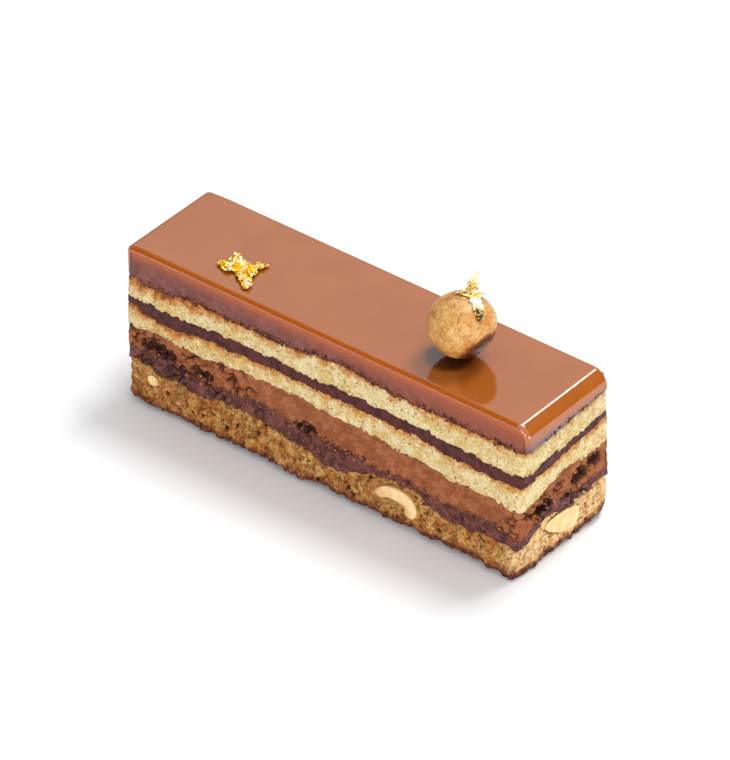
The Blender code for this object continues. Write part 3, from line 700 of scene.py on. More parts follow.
def praline_material():
    n = Nodes("praline_cream")
    fine = n.noise(0.35, 5, 0.7)
    n.ground(n.noise(2.6, 3), 0.38, 0.62, (146, 84, 56), (172, 110, 82))
    n.cover(n.noise(1.6, 4, 0.65, 0.4), 0.56, 0.70, 0.7, (186, 120, 66))
    n.cover(fine, 0.57, 0.70, 0.5, (196, 134, 98))
    n.cover(fine, 0.45, 0.33, 0.75, (92, 44, 26))
    n.cover(n.voronoi(0.75), 0.20, 0.10, 0.6, (80, 38, 22))
    low = n.rough_edge("to_floor", 1.2, 4.0)
    n.cover(low, 1.4, -0.4, 0.8, (92, 44, 34))
    # Painted shade in the cracks.
    n.cover(n.attribute("crevice"), 0.1, 0.9, 0.85, (62, 26, 16))
    # Painted shade: the torn pockets are darker the deeper they are.
    n.cover(n.attribute("void_shade"), 0.05, 0.45, 0.75, (84, 42, 28))
    n.cover(n.attribute("void_shade"), 0.4, 1.0, 0.85, (46, 18, 12))
    # Painted shade in the pits.
    n.cover(n.attribute("pit"), 0.4, 1.0, 0.6, (64, 28, 18))
    n.bump(n.add(n.noise(0.4, 5, 0.7), n.voronoi(0.45)), 0.8, 0.2)
    return n.finish(n.span(fine, 0.4, 0.7, 0.75, 0.5), (0.95, 0.82, 0.54), Specular_IOR_Level=0.3)


def paste_material():
    n = Nodes("dark_paste_cream")
    fine = n.noise(0.5, 4, 0.65)
    n.ground(n.noise(2.0, 3), 0.40, 0.60, (78, 38, 34), (124, 76, 70))
    n.cover(n.noise(1.3, 4, 0.65, 0.5), 0.55, 0.68, 0.8, (146, 88, 58))
    n.cover(fine, 0.56, 0.70, 0.6, (160, 108, 88))
    n.cover(fine, 0.46, 0.34, 0.85, (42, 16, 13))
    # Painted shade in the cracks.
    n.cover(n.attribute("crevice"), 0.1, 0.9, 0.85, (48, 18, 14))
    # Painted shade: the torn pockets are darker the deeper they are.
    n.cover(n.attribute("void_shade"), 0.1, 0.7, 0.9, (40, 15, 11))
    # Painted shade in the pits.
    n.cover(n.attribute("pit"), 0.3, 1.0, 0.8, (40, 17, 13))
    n.bump(n.noise(0.6, 4, 0.6), 0.7, 0.22)
    return n.finish(n.span(fine, 0.4, 0.6, 0.55, 0.36), (0.86, 0.64, 0.60), Specular_IOR_Level=0.3)


def ganache_material():
    n = Nodes("smooth_ganache")
    n.ground(n.noise(1.6, 3), 0.38, 0.62, (64, 30, 30), (96, 54, 54))
    n.cover(n.noise(0.5, 4, 0.6), 0.56, 0.72, 0.5, (120, 74, 68))
    n.cover(n.noise(0.9, 4, 0.65, 0.5), 0.56, 0.70, 0.7, (48, 18, 14))
    low = n.rough_edge("to_floor", 0.7, 1.4)
    n.cover(low, 0.5, -0.3, 0.7, (70, 26, 14))
    # Painted shade in the pits.
    n.cover(n.attribute("pit"), 0.3, 1.0, 0.8, (36, 14, 12))
    n.bump(n.noise(0.8, 4, 0.6), 0.5, 0.16)
    return n.finish(0.5, (0.86, 0.52, 0.46), Specular_IOR_Level=0.22)


def mousse_material():
    n = Nodes("chocolate_mousse")
    fine = n.noise(0.35, 5, 0.7)
    n.ground(n.noise(2.4, 3), 0.36, 0.64, (136, 80, 66), (160, 102, 86))
    n.cover(fine, 0.56, 0.74, 0.4, (184, 124, 104))
    n.cover(fine, 0.45, 0.30, 0.45, (98, 50, 38))
    n.cover(n.attribute("along"), 0.25, 1.0, 0.55, (188, 98, 54))
    smear = n.rough_edge("to_top", 2.4, 2.2)
    n.cover(smear, 3.4, 1.0, 0.7, (196, 102, 60))
    n.cover(smear, 1.5, 0.7, 0.7, (214, 120, 66))
    patch = n.stray(n.noise(3.2, 3, 0.6), 4.5)
    low = n.add(n.rough_edge("to_floor", 0.5, 4.0), patch)
    n.cover(low, 1.6, 0.2, 0.85, (120, 58, 36))
    n.cover(low, 0.7, -0.4, 0.9, (60, 23, 17))
    crumbs = n.voronoi(0.55)
    near = n.add(crumbs, n.times(n.attribute("to_floor"), 0.07))
    n.cover(near, 0.30, 0.18, 0.75, (60, 24, 18))
    n.bump(n.noise(0.5, 5, 0.65), 0.45, 0.14)
    return n.finish(0.65, (0.64, 0.60, 0.66), Specular_IOR_Level=0.3)


def glaze_material():
    n = Nodes("milk_chocolate_glaze")
    n.ground(n.noise(9.0, 2), 0.3, 0.7, (163, 87, 27), (168, 91, 30))
    n.cover(n.attribute("rim"), 0.1, 0.9, 0.9, (172, 82, 10))
    # Painted shadow: a dark disc on the glaze round the hazelnut's foot, to its front left, stands for the
    # nut's cast shadow.
    n.cover(n.rough_edge("painted_nut_shadow", 2.5, 0.2), 0.15, 0.95, 0.85, (56, 24, 12))
    hem = n.rough_edge("drape", 1.6, 0.9)
    n.cover(hem, 0.2, 0.8, 0.9, (134, 66, 44))
    n.cover(n.rough_edge("drape", 0.6, 1.1), 0.85, 1.15, 0.85, (74, 30, 20))
    n.bump(n.noise(7.0, 2), 0.04, 0.3)
    return n.finish(
        n.span(n.noise(5.0, 3), 0.3, 0.7, 0.05, 0.08), IOR=1.88,
        Subsurface_Weight=0.08, Subsurface_Scale=0.8 * MM,
    )


def hazelnut_material():
    n = Nodes("roasted_hazelnut")
    fine = n.noise(0.7, 5, 0.65, 0.6)
    n.ground(n.noise(2.6, 3), 0.38, 0.62, (220, 160, 84), (240, 196, 128))
    n.cover(n.noise(1.5, 4, 0.7, 0.8), 0.51, 0.62, 0.8, (198, 124, 40))
    n.cover(fine, 0.54, 0.64, 0.8, (255, 234, 184))
    n.cover(n.attribute("streak"), 0.3, 0.8, 0.6, (184, 112, 44))
    # Roasted skin and painted shade: the lower right side and the underside are painted darker.
    roast_and_shade = n.add(n.attribute("roast_and_shade"), n.stray(n.noise(1.2, 4, 0.6), 0.8))
    n.cover(n.noise(0.9, 3, 0.6), 0.60, 0.72, 0.6, (168, 98, 36))
    n.cover(roast_and_shade, 0.30, 0.65, 0.9, (132, 66, 24))
    n.cover(roast_and_shade, 0.60, 1.0, 0.9, (62, 24, 10))
    n.bump(n.add(n.noise(0.5, 5, 0.6), n.attribute("streak")), 0.45, 0.2)
    return n.finish(
        n.span(roast_and_shade, 0.2, 0.8, 0.45, 0.36), (0.74, 0.64, 0.46), Coat_Weight=0.08, Coat_Roughness=0.1,
        Subsurface_Weight=0.12, Subsurface_Scale=1.0 * MM,
    )


def nut_flesh_material():
    n = Nodes("cut_hazelnut")
    n.ground(n.noise(2.2, 3), 0.35, 0.65, (238, 196, 132), (250, 226, 176))
    n.cover(n.noise(0.9, 4, 0.6), 0.58, 0.75, 0.35, (214, 150, 80))
    n.cover(n.attribute("skin"), 0.25, 0.75, 0.9, (186, 104, 42))
    n.cover(n.attribute("skin"), 0.7, 1.0, 0.85, (112, 48, 18))
    n.bump(n.noise(0.5, 4, 0.6), 0.2, 0.1)
    return n.finish(
        0.38, (0.92, 0.85, 0.74), Specular_IOR_Level=0.5, Subsurface_Weight=0.15, Subsurface_Scale=1.2 * MM
    )


def crumb_material():
    n = Nodes("loose_crumbs")
    tint = n.attribute("tint")
    n.ground(tint, 0.2, 0.5, (52, 22, 16), (120, 60, 34))
    n.cover(tint, 0.5, 0.9, 1, (196, 116, 54))
    n.bump(n.noise(0.3, 4, 0.7), 0.5, 0.08)
    return n.finish(0.5, Specular_IOR_Level=0.45)


def gold_material():
    n = Nodes("gold_leaf_foil")
    # Painted light: the near-white patches stand for the foil's highlights, and the orange low parts between
    # folds and the dark golden-brown patches are painted shade.
    tone = n.noise(1.5, 3, 0.6)
    n.ground(tone, 0.44, 0.56, (255, 206, 50), (255, 252, 222))
    n.cover(n.attribute("fold"), 0.5, 0.85, 0.8, (236, 160, 16))
    n.cover(n.noise(1.2, 3, 0.6, 0.5), 0.59, 0.66, 0.8, (150, 92, 8))
    n.color = n.mix(n.attribute("pale"), n.color, srgb(255, 252, 232))
    spots = n.stray(n.noise(0.9), 2.6)
    n.cover(n.add(n.attribute("tarnish"), spots), 0.75, 1.0, 0.95, (80, 70, 30))
    n.bump(n.noise(0.9, 4, 0.6), 0.9, 0.3)
    return n.finish(n.span(tone, 0.35, 0.7, 0.2, 0.4), Metallic=0.92)


# Pieces.

def layers():
    materials = {
        "sponge": sponge_material(), "praline": praline_material(), "dark_paste": paste_material(),
        "ganache": ganache_material(), "mousse": mousse_material(),
    }
    table = (
        ("dark_paste", "base_top", "paste_top", cream_relief(41, 0.45, 0.35, True), "dark_paste"),
        ("praline", "paste_top", "praline_top", cream_relief(52, 0.35, 0.40, True), "praline"),
        ("sponge_lower", "praline_top", "sponge_a_top", sponge_relief(63), "sponge"),
        ("ganache", "sponge_a_top", "ganache_top", cream_relief(74, 0.18, 0.10), "ganache"),
        ("sponge_upper", "ganache_top", "sponge_b_top", sponge_relief(85), "sponge"),
        ("mousse", "sponge_b_top", "glaze", cream_relief(96, 0.12, 0.08), "mousse"),
    )
    for node, lower, upper, relief, slot in table:
        recess, corner_cut = (MOUSSE_RECESS, 0.1 * MM) if node == "mousse" else (None, 0.3 * MM)
        points, faces, masks = layer_mesh(lower, upper, relief, recess, corner_cut)
        declare(make_object(node + "_fine", points, faces, materials[slot], masks), slot, node)


def base():
    """The biscuit base, with its ragged and browned lower edge."""
    s, t, face, along, across = ring(FINE)
    count = len(s)
    rows = round(BISCUIT_WALL / FINE)
    share = np.repeat(np.linspace(0, 1, rows + 1), count)
    s, t, face = (np.tile(v, rows + 1) for v in (s, t, face))
    x, y, *_ = wall(share * BISCUIT_HEIGHT, s, t, None)
    spots = xyz(x, y, 0.0)
    corner_up = smoothstep(0.36, 0.5, x / LENGTH) * smoothstep(0.1, 0.6, y / WIDTH)
    crags = layered_noise(spots, 3.2 * MM, 205) + 0.5 * layered_noise(spots, 1.3 * MM, 211)
    right_end = smoothstep(0.43, 0.48, x / LENGTH)
    low = (0.8 * MM + 0.9 * MM * crags) * (1 - 0.7 * right_end) + 1.1 * MM * corner_up
    low = np.maximum(low, 0.1 * MM)
    high = boundary("base_top", x, y) + torn_edge("base_top", x, y) + GRIP
    z = low + (high - low) * share
    x, y, out_x, out_y, corner = wall(z, s, t, None)
    points = xyz(x, y, z)
    push, masks = crumb_relief(17)(points, face)
    push = push - 1.1 * MM * corner
    near, _, lump_name = cells(points, 2.2 * MM, 223)
    crust = smoothstep(0.36, 0.14, share) * smoothstep(0.0, 0.10, share) * (1 - corner)
    push = push + crust * (0.62 - near) * 0.9 * MM * (0.4 + lump_name)
    push = push - 0.9 * MM * smoothstep(0.10, 0.0, share) * (1 - 0.8 * right_end)
    # The right end, where the crumb is painted paler as painted light.
    masks["end"] = smoothstep(0.44, 0.49, x / LENGTH)
    points = xyz(x + out_x * push, y + out_y * push, z)
    masks["height_mm"] = (z - low) / MM
    foot = points[:count].copy()
    inset = (2.5 - 1.9 * right_end[:count]) * MM
    foot[:, 0] -= np.sign(s[:count]) * (np.abs(s[:count]) >= 1) * inset
    foot[:, 1] -= np.sign(t[:count]) * (np.abs(t[:count]) >= 1) * inset
    foot[:, 2] = 0
    points = np.concatenate([foot, points])
    masks = {key: np.concatenate([values[:count], values]) for key, values in masks.items()}
    masks["height_mm"][:count] = 0
    faces = block_faces(rows + 1, count, along, across)
    obj = make_object("base_biscuit_fine", points, faces, biscuit_material(), masks)
    declare(obj, "nut_biscuit", "base_biscuit")


def glaze_section(along, depth, y):
    """Points of the glaze's section, as for the solid."""
    half = LENGTH / 2
    flat = LENGTH - RIGHT_RADIUS - LEFT_RADIUS
    x = -half + LEFT_RADIUS + along
    z = HEIGHT - droop(x) - depth
    for way, past, radius, sunk in (
        (1, along - flat, RIGHT_RADIUS, 0.0),
        (-1, -along, LEFT_RADIUS, LEFT_DROOP),
    ):
        arc = radius * math.pi / 2
        angle = np.clip(past, 0, arc) / radius
        side_x = half - radius + (radius - depth) * np.sin(angle)
        side_z = HEIGHT - sunk - radius + (radius - depth) * np.cos(angle)
        spots = xyz(way * half, y, 0.0)
        ragged = 0.50 * MM * (0.7 + layered_noise(spots, 1.3 * MM, 77))
        hem = boundary("sponge_b_top", way * side_x, y) + ragged
        share = np.clip((past - arc) / DRAPE, 0, 1)
        side_z = side_z + (hem - side_z) * share
        x = np.where(past > 0, way * side_x, x)
        z = np.where(past > 0, side_z, z)
    return x, z


def glaze():
    """The glossy sheet: it runs over the top, round both ends' roundings, and down to a ragged hem."""
    right_arc, left_arc = RIGHT_RADIUS * math.pi / 2, LEFT_RADIUS * math.pi / 2
    flat = LENGTH - RIGHT_RADIUS - LEFT_RADIUS
    fine = 0.35 * MM
    alongs = np.concatenate([
        np.linspace(-left_arc - DRAPE, -left_arc, round(DRAPE / fine), endpoint=False),
        np.linspace(-left_arc, 0, 16, endpoint=False),
        np.linspace(0, flat, 220, endpoint=False),
        np.linspace(flat, flat + right_arc, 24, endpoint=False),
        np.linspace(flat + right_arc, flat + right_arc + DRAPE, round(DRAPE / fine) + 1),
    ])
    half = WIDTH / 2 + 0.15 * MM
    # The section across: under, round the front edge, over, round the back edge.
    turns = np.linspace(0, math.pi / 2, 12)
    front = [(-half + 0.12 * MM, 0.0)]
    front += [(-half + GLAZE_EDGE * (1 - math.cos(a)), 0.08 + 0.92 * math.sin(a)) for a in turns]
    over = [(v, 1.0) for v in np.linspace(-half + GLAZE_EDGE, half - GLAZE_EDGE, 70)[1:-1]]
    back = [(-v, w) for v, w in front[::-1]]
    under = [(v, 0.0) for v in np.linspace(half - GLAZE_EDGE, -half + GLAZE_EDGE, 8)[1:-1]]
    section = np.array(front + over + back + under)
    count, rows = len(section), len(alongs)
    along = np.repeat(alongs, count)
    y = np.tile(section[:, 0], rows)
    share = np.tile(section[:, 1], rows)
    x, z = glaze_section(along, GLAZE * (1 - share), y)
    spots = xyz(x, y, z)
    z = z + np.where(share > 0.9, 0.03 * MM * layered_noise(spots, 14 * MM, 5), 0)
    points = xyz(x, y, z)
    # The painted nut shadow is centred a little to the front left of the hazelnut's foot.
    foot = nut_middle() + np.array([-1.6 * MM, -2.2 * MM, 0])
    masks = {
        "rim": smoothstep(0.99, 0.80, share) * (np.abs(y) > half - GLAZE_EDGE),
        "painted_nut_shadow": smoothstep(7.4 * MM, 3.2 * MM, np.hypot(x - foot[0], y - foot[1])) * (share > 0.9),
        "drape": np.clip(np.maximum(-along - left_arc * 0.6, along - flat - right_arc * 0.75) / DRAPE, 0, 2),
    }
    obj = make_object("glaze_fine", points, tube_faces(rows, count), glaze_material(), masks)
    declare(obj, "glaze", "glaze")


def sphere(columns, rows):
    """Directions of a sphere with poles on Z, and its faces."""
    tilt = np.linspace(0, math.pi, rows + 1)[1:-1]
    turn = np.linspace(0, math.tau, columns, endpoint=False)
    body = [(math.sin(a) * math.cos(b), math.sin(a) * math.sin(b), math.cos(a)) for a in tilt for b in turn]
    points = np.array([(0, 0, 1.0), *body, (0, 0, -1.0)])
    faces = [(0, 1 + i, 1 + (i + 1) % columns) for i in range(columns)]
    for row in range(rows - 2):
        start = 1 + row * columns
        for i in range(columns):
            j = (i + 1) % columns
            faces.append((start + i, start + columns + i, start + columns + j, start + j))
    last = 1 + (rows - 2) * columns
    end = len(points) - 1
    faces += [(last + i, end, last + (i + 1) % columns) for i in range(columns)]
    return points, faces


def nut_arch(radius, stretch):
    """The front nut, cut so that an arch shows: a bent sausage with blunt ends, flat on its cut side."""
    along, around = 90, 36
    share = np.repeat(np.linspace(0, 1, along), around)
    turn = np.tile(np.linspace(0, math.tau, around, endpoint=False), along)
    bend = np.radians(ARCH[0] + (ARCH[1] - ARCH[0]) * share)
    end = np.minimum(share, 1 - share)
    size = ARCH_BAND / 2 * MM * np.sqrt(np.clip(1 - (1 - np.clip(end / 0.09, 0, 1)) ** 2, 1e-4, 1))
    size = size * (0.86 + 0.26 * np.sin(3.1 * share + 0.2))
    middle_x = (radius * stretch * MM - ARCH_BAND / 2 * MM) * np.cos(bend)
    middle_z = (radius * MM - ARCH_BAND / 2 * MM) * np.sin(bend)
    out_x, out_z = np.cos(bend), np.sin(bend)
    across = size * np.cos(turn)
    inward = size * np.sin(turn)
    inward = np.where(inward < 0, 0.25 * inward, 1.1 * inward)
    points = xyz(middle_x + out_x * across, inward, middle_z + out_z * across)
    skin = smoothstep(-0.30, -0.95, np.cos(turn)) * (inward < 0.5 * MM)
    return points, tube_faces(along, around), skin


def wedge(local, radius, stretch):
    """The nut at the right end, cut to a blunt wedge: low at its left, tall at its right."""
    across, depth, up = local.T
    side = across / (radius * stretch)
    square = 1 + 0.16 * np.clip(1 - np.abs(np.abs(up / radius) - 0.75) * 3, 0, 1) * np.abs(side)
    tall = 0.86 + 0.30 * side + 0.28 * np.clip(side, 0, 1) * (up > 0)
    return xyz(across * square * 0.97, depth, up * tall)


def face_profile(face):
    return {"front": FRONT_PROFILE, "back": BACK_PROFILE, "left": LEFT_PROFILE}.get(face, END_PROFILE)


def cut_nut(node, radius, hollow, turn, stretch):
    """A nut's inner half with a hollow in its cut face, its faces, and where brown skin lines the hollow."""
    points, faces = sphere(72, 48)
    across, along, inward = points.T
    sunk = np.zeros(len(points))
    if hollow:
        mouth = math.radians(turn)
        size = hollow / radius
        ahead = across * math.cos(mouth) + along * math.sin(mouth)
        beside = np.abs(along * math.cos(mouth) - across * math.sin(mouth))
        reach = np.where(ahead < 0, -ahead, 0.35 * ahead)
        sunk = 0.55 * (1 - smoothstep(0.7 * size, 1.15 * size, np.hypot(reach, beside)))
    rim = np.sqrt(np.clip(1 - (across**2 + along**2), 0, 1))
    depth = np.where(inward < 0, sunk * NUT_DEPTH * rim - 0.04 * rim, inward * NUT_DEPTH)
    wobble = 1 + 0.05 * layered_noise(points, 0.8, 300 + len(node))
    local = xyz(across * stretch, depth, along) * radius * MM * wobble[:, None]
    return local, faces, np.clip(sunk * 1.6, 0, 1) * (inward < 0)


def cut_nuts():
    material = nut_flesh_material()
    for node, (face, place, height, radius, hollow, turn, stretch, lean) in CUT_NUTS.items():
        if node == "nut_front":
            local, faces, skin = nut_arch(radius + ARCH_MORE, stretch)
            place, proud = place + ARCH_MORE, ARCH_MORE
        else:
            local, faces, skin = cut_nut(node, radius, hollow, turn, stretch)
            proud = 0.15
        if node == "nut_end":
            local = wedge(local, radius * MM, stretch)
        stand = float(profile(face_profile(face), height * MM)) + proud * MM
        along_x, along_y = FACES[face]
        if along_y:
            centre = np.array([place * MM, along_y * (WIDTH / 2 + stand), height * MM])
            angle = math.pi if along_y > 0 else 0.0
        else:
            centre = np.array([along_x * (LENGTH / 2 + stand), place * MM, height * MM])
            angle = math.pi / 2 * along_x
        turned = np.array(Matrix.Rotation(angle, 3, "Z") @ Matrix.Rotation(-math.radians(lean), 3, "Y"))
        obj = make_object(node + "_fine", local @ turned.T + centre, faces, material, {"skin": skin})
        declare(obj, "nut_flesh", node)


def flattened(points, size):
    """Points about the hazelnut's middle, its upper half lowered a little and its lower half narrowed."""
    up = points[:, 2] / size
    wide = 1 - 0.11 * smoothstep(0.05, -0.85, up)
    return points * xyz(wide, wide, np.where(up > 0, 0.91, 1.0))


def hazelnut():
    low, high = (np.array(v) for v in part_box("hazelnut"))
    centre = (low + high) / 2 - SHIFT
    size = float((high - low).mean() / 2)
    directions, faces = sphere(140, 90)
    turn = np.array(Euler((math.radians(24), math.radians(-16), math.radians(30))).to_matrix())
    around = np.arctan2(directions[:, 1], directions[:, 0])
    lift = directions[:, 2]
    streak = layered_noise(xyz(np.cos(around) * 3, np.sin(around) * 3, lift * 0.5), 0.22, 400)
    lumps = layered_noise(directions, 0.55, 410)
    fine = layered_noise(directions, 0.12, 420)
    radius = size * (1 + 0.05 * np.maximum(lift, 0) ** 4 - 0.06 * np.maximum(-lift, 0) ** 3
                     + 0.035 * lumps + 0.008 * fine - 0.012 * np.maximum(streak, 0))
    turned = directions @ turn.T
    # Darker roasted skin, with painted shade on the lower right side and the underside.
    roast_and_shade = np.maximum(smoothstep(0.56, 0.96, turned @ ROAST_AND_SHADE_SIDE), smoothstep(-0.72, -0.95, turned[:, 2]))
    points = flattened(turned * radius[:, None], size) + centre
    masks = {"streak": np.clip(streak * 1.4, 0, 1), "roast_and_shade": roast_and_shade}
    obj = make_object("hazelnut_fine", points, faces, hazelnut_material(), masks)
    declare(obj, "hazelnut", "hazelnut")


def ridges(points, grain, seed):
    """Sharp folds of 0 to 1, as crumpled foil has."""
    return 1 - np.clip(np.abs(smooth_noise(points, grain, seed)) * 2.2, 0, 1)


def sheet_faces(columns, rows):
    """Faces of a closed thin sheet: its top grid, its bottom grid and the rim."""
    count = columns * rows
    faces = []
    for i in range(columns - 1):
        for j in range(rows - 1):
            a, b, c, d = i * rows + j, (i + 1) * rows + j, (i + 1) * rows + j + 1, i * rows + j + 1
            faces.append((a, b, c, d))
            faces.append((count + d, count + c, count + b, count + a))
    rim = [(i, 0) for i in range(columns)] + [(columns - 1, j) for j in range(1, rows)]
    rim += [(i, rows - 1) for i in range(columns - 2, -1, -1)] + [(0, j) for j in range(rows - 2, 0, -1)]
    rim = [i * rows + j for i, j in rim]
    for a, b in zip(rim, rim[1:] + rim[:1]):
        faces.append((a, count + a, count + b, b))
    return faces


def sheet_grid(columns, rows, low, high):
    u, v = np.meshgrid(np.linspace(low, high, columns), np.linspace(low, high, rows), indexing="ij")
    return u.ravel(), v.ravel()


def gold_flake(material):
    """The crumpled leaf on the glaze: a disc pulled out to the flake's outline, with folds and a peak."""
    side = 90
    s, t = sheet_grid(side, side, -1, 1)
    across, up = s * np.sqrt(1 - t**2 / 2), t * np.sqrt(1 - s**2 / 2)
    angle = np.degrees(np.arctan2(up, across)) % 360
    table = np.array(FLAKE_OUTLINE)
    index = np.clip(np.searchsorted(table[:, 0], angle, side="left") - 1, 0, len(table) - 2)
    before, after = table[index], table[index + 1]
    share = np.clip((angle - before[:, 0]) / (after[:, 0] - before[:, 0]), 0, 1)
    reach = before[:, 1] + (after[:, 1] - before[:, 1]) * share**2 * (3 - 2 * share)
    around = xyz(np.cos(np.radians(angle)), np.sin(np.radians(angle)), 0.0)
    far = np.hypot(across, up)
    reach = reach * (1 + 0.16 * far**2 * layered_noise(around, 0.22, 501, 3))
    x, y = across * reach * MM, up * reach * MM
    flat = xyz(x, y, 0.0)
    fold = 0.6 * ridges(flat, 1.7 * MM, 511) + 0.4 * ridges(flat, 0.8 * MM, 517)
    small = layered_noise(flat, 0.5 * MM, 523, 2)
    peak = np.exp(-((x / MM - FLAKE_PEAK[0]) ** 2 + (y / MM - FLAKE_PEAK[1]) ** 2) / 1.4)
    lift = 0.12 + 1.35 * fold**1.5 * (1 - 0.55 * far**3) + 0.14 * small + FLAKE_PEAK[2] * peak
    z = np.maximum(lift, 0.05) * MM
    x = x + 0.28 * MM * smooth_noise(flat, 0.9 * MM, 531)
    y = y + 0.28 * MM * smooth_noise(flat, 0.9 * MM, 537)
    top = xyz(x, y, z + FOIL)
    low = xyz(x, y, z)
    points = np.concatenate([top, low]) + FLAKE_PLACE
    # fold is high in the low parts between the folds, where the foil is painted darker as shade.
    masks = {"fold": np.tile(1 - fold, 2)}
    obj = make_object("gold_flake_fine", points, sheet_faces(side, side), material, masks, smooth=False)
    declare(obj, "gold_leaf", "gold_flake")


def gold_ribbon(material):
    """The leaf on the hazelnut: a crumpled strip along its route, which hugs the nut and then stands free."""
    columns, rows = 120, 40
    s, t = sheet_grid(columns, rows, 0, 1)
    t = t - 0.5
    centre = nut_middle()
    stops = np.linspace(0, 1, len(RIBBON_ROUTE))
    route = np.array(RIBBON_ROUTE) * MM

    def on_route(share):
        return np.stack([np.interp(share, stops, route[:, axis]) for axis in range(3)], axis=1)

    ahead = on_route(np.clip(s + 0.03, 0, 1)) - on_route(np.clip(s - 0.03, 0, 1))
    ahead /= np.linalg.norm(ahead, axis=1)[:, None]
    middle = on_route(s)
    away = middle - ahead * (middle * ahead).sum(axis=1)[:, None]
    away /= np.linalg.norm(away, axis=1)[:, None]
    side = np.cross(ahead, away)
    width = np.interp(s, stops, RIBBON_WIDTHS) * MM
    flat = xyz(s * 16 * MM, t * width, 0.0)
    edge = 1 + 0.55 * np.abs(2 * t) * layered_noise(flat, 1.1 * MM, 541)
    points = middle + side * (t * width * edge)[:, None]
    fold = 0.6 * ridges(flat, 1.3 * MM, 547) + 0.4 * ridges(flat, 0.6 * MM, 551)
    crumple = (0.15 + 0.75 * fold**1.5 + 0.1 * layered_noise(flat, 0.4 * MM, 557, 2)) * MM
    far = np.linalg.norm(points, axis=1)
    low = NUT_SIZE * 1.02
    on_nut = far < low + crumple
    out = points / far[:, None]
    points = np.where(on_nut[:, None], out * (low + crumple)[:, None], points + away * 0.6 * crumple[:, None])
    away = np.where(on_nut[:, None], out, away)
    both = flattened(np.concatenate([points + away * FOIL, points]), NUT_SIZE) + centre
    pale_flank = smoothstep(0.20, 0.28, s) * smoothstep(0.44, 0.36, s)
    pale_tip = 0.8 * smoothstep(0.76, 0.9, s)
    # fold is high in the low parts between the folds, where the foil is painted darker as shade.
    masks = {"fold": 1 - fold, "tarnish": smoothstep(0.26, 0.14, s), "pale": np.maximum(pale_flank, pale_tip)}
    masks = {key: np.tile(values, 2) for key, values in masks.items()}
    obj = make_object("gold_ribbon_fine", both, sheet_faces(columns, rows), material, masks, smooth=False)
    declare(obj, "gold_leaf", "gold_ribbon")


def nut_middle():
    low, high = (np.array(v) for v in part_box("hazelnut"))
    return (low + high) / 2 - SHIFT


def crumbs():
    """Loose crumbs that the knife dragged along the mousse's lower edge and the layers under it."""
    rng = np.random.default_rng(61)
    shape, lump_faces = sphere(7, 5)
    points, faces, tints = [], [], []
    around = 2 * (LENGTH + WIDTH)
    for name, below, above, number, small, large, dark, light in CRUMB_LINES:
        for _ in range(number):
            way = rng.uniform(0, around)
            size = rng.uniform(small, large) * MM
            offset = rng.triangular(-below, 0.15, above) * MM
            spot, out = wall_spot(way, name, offset)
            turn = np.array(Euler(rng.uniform(0, 6, 3)).to_matrix())
            lump = shape * rng.uniform(0.7, 1.3, shape.shape) * rng.uniform(0.6, 1.2, 3)
            lump = lump @ turn.T * size
            start = sum(len(block) for block in points)
            points.append(lump + spot + out * size * 0.15)
            faces += [tuple(start + i for i in face) for face in lump_faces]
            tints.append(np.full(len(lump), rng.uniform(dark, light)))
    masks = {"tint": np.concatenate(tints)}
    declare(make_object("crumbs", np.concatenate(points), faces, crumb_material(), masks), "ganache")


def wall_spot(way, name, offset):
    """A point on the wall this far round the cake, offset above a layer boundary, and the way out there."""
    way = way % (2 * (LENGTH + WIDTH))
    if way < LENGTH:
        place, face = way - LENGTH / 2, "front"
    elif way < LENGTH + WIDTH:
        place, face = way - LENGTH - WIDTH / 2, "right"
    elif way < 2 * LENGTH + WIDTH:
        place, face = way - LENGTH - WIDTH - LENGTH / 2, "back"
    else:
        place, face = way - 2 * LENGTH - WIDTH - WIDTH / 2, "left"
    half = (LENGTH if face in ("front", "back") else WIDTH) / 2
    place *= (half - CRUMB_CLEAR) / half
    out = np.array([*FACES[face], 0.0])
    x, y = (place, out[1] * WIDTH / 2) if out[1] else (out[0] * LENGTH / 2, place)
    z = float(boundary(name, np.array([x]), np.array([y]))[0]) + offset
    on_hem = out[0] and name == "sponge_b_top" and offset > 0.35 * MM
    stand = 0.0 if on_hem else float(profile(face_profile(face), z))
    return np.array([x, y, z]) + out * stand, out


def gold():
    material = gold_material()
    gold_flake(material)
    gold_ribbon(material)


# The studio.

def sky():
    """A pale sky that darkens to the horizon, with two dark strips that the glaze's roundings mirror."""
    world = bpy.data.worlds.new("studio")
    bpy.context.scene.world = world
    world.use_nodes = True
    graph = Graph(world.node_tree)
    place = graph.tree.nodes.new("ShaderNodeTexCoord")
    split = graph.tree.nodes.new("ShaderNodeSeparateXYZ")
    graph.tree.links.new(place.outputs["Generated"], split.inputs[0])
    right, behind, up = (split.outputs[axis] for axis in "XYZ")
    beside_front = graph.math("ABSOLUTE", graph.add(right, 0.51))
    over_front = graph.times(graph.span(beside_front, 0.24, 0.14), graph.span(behind, 0.46, 0.34))
    beside_end = graph.math("ABSOLUTE", graph.math("SUBTRACT", behind, 0.63))
    over_end = graph.times(graph.span(beside_end, 0.17, 0.10), graph.span(right, -0.12, 0.0))
    strips = graph.times(graph.math("MAXIMUM", over_front, over_end), 0.92)
    rise = graph.span(up, 0.20, 0.55, 0.12, 0.91)
    back = graph.tree.nodes["Background"]
    graph.link(graph.times(rise, graph.math("SUBTRACT", 1.0, strips)), back.inputs["Strength"])
    back.inputs["Color"].default_value = (0.95, 0.97, 1.0, 1)


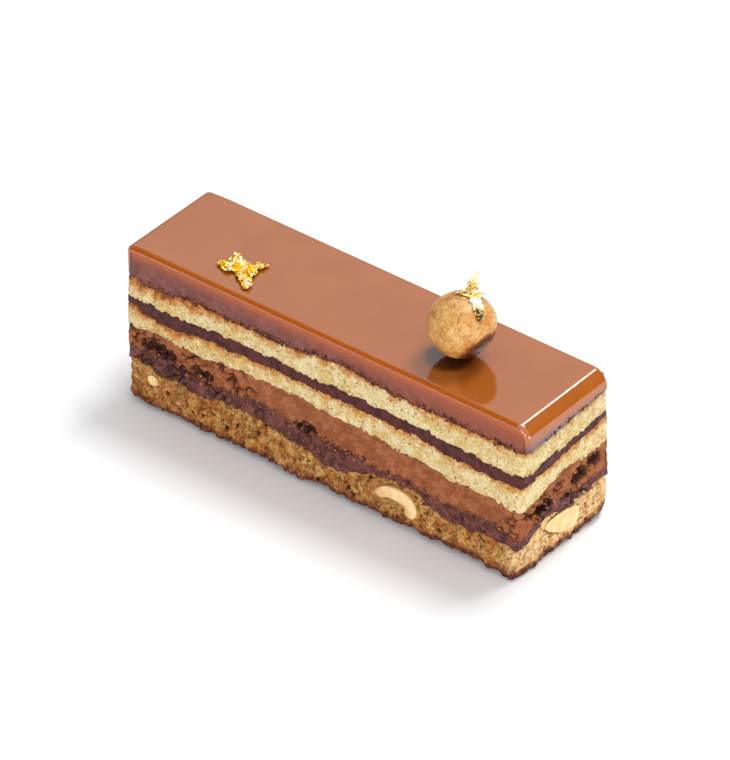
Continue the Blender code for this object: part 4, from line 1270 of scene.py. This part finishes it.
def paper():
    """The pale floor."""
    reach = 3.0
    mesh = bpy.data.meshes.new("floor")
    corners = [(-reach, -reach, 0), (reach, -reach, 0), (reach, reach, 0), (-reach, reach, 0)]
    mesh.from_pydata(corners, [], [(0, 1, 2, 3)])
    floor = bpy.data.objects.new("floor", mesh)
    bpy.context.scene.collection.objects.link(floor)
    n = Nodes("paper_floor")
    n.color = n.mix(n.noise(40, 2), (0.93, 0.93, 0.93), (0.95, 0.95, 0.95))
    mesh.materials.append(n.finish(0.9, Specular_IOR_Level=0.0))


def lamps():
    for name, (place, aim, size, power) in LAMPS.items():
        light = bpy.data.lights.new(name, "AREA")
        light.shape = "RECTANGLE"
        light.size, light.size_y = size
        light.energy = power
        obj = bpy.data.objects.new(name, light)
        obj.location = place
        obj.rotation_euler = (Vector((0, 0, aim)) - Vector(place)).to_track_quat("-Z", "Y").to_euler()
        bpy.context.scene.collection.objects.link(obj)


def camera():
    """A long lens from the photograph's viewing angle."""
    azimuth, elevation, roll = math.radians(39.25), math.radians(35.97), math.radians(-0.589)
    distance, pixels_per_metre, sensor = 1.5, 4635.0, 36
    middle = Vector((-0.000193, 0, 0.015657))
    right = Vector((math.cos(azimuth), math.sin(azimuth), 0))
    level = math.cos(elevation)
    back = Vector((math.sin(azimuth) * level, -math.cos(azimuth) * level, math.sin(elevation)))
    up = back.cross(right)
    target = right * middle.x + up * middle.z
    data = bpy.data.cameras.new("camera")
    data.sensor_width = sensor
    data.lens = pixels_per_metre * distance * sensor / max(PIXELS)
    data.clip_end = 20
    obj = bpy.data.objects.new("camera", data)
    turned = Matrix((right, up, back)).transposed().to_4x4()
    obj.matrix_world = Matrix.Translation(target + back * distance) @ turned @ Matrix.Rotation(roll, 4, "Z")
    scene = bpy.context.scene
    scene.collection.objects.link(obj)
    scene.camera = obj
    scene.render.resolution_x, scene.render.resolution_y = PIXELS
    scene.view_settings.view_transform = "Standard"


camera()
sky()
paper()
lamps()
layers()
base()
glaze()
cut_nuts()
hazelnut()
gold()
crumbs()

bpy.context.view_layer.update()
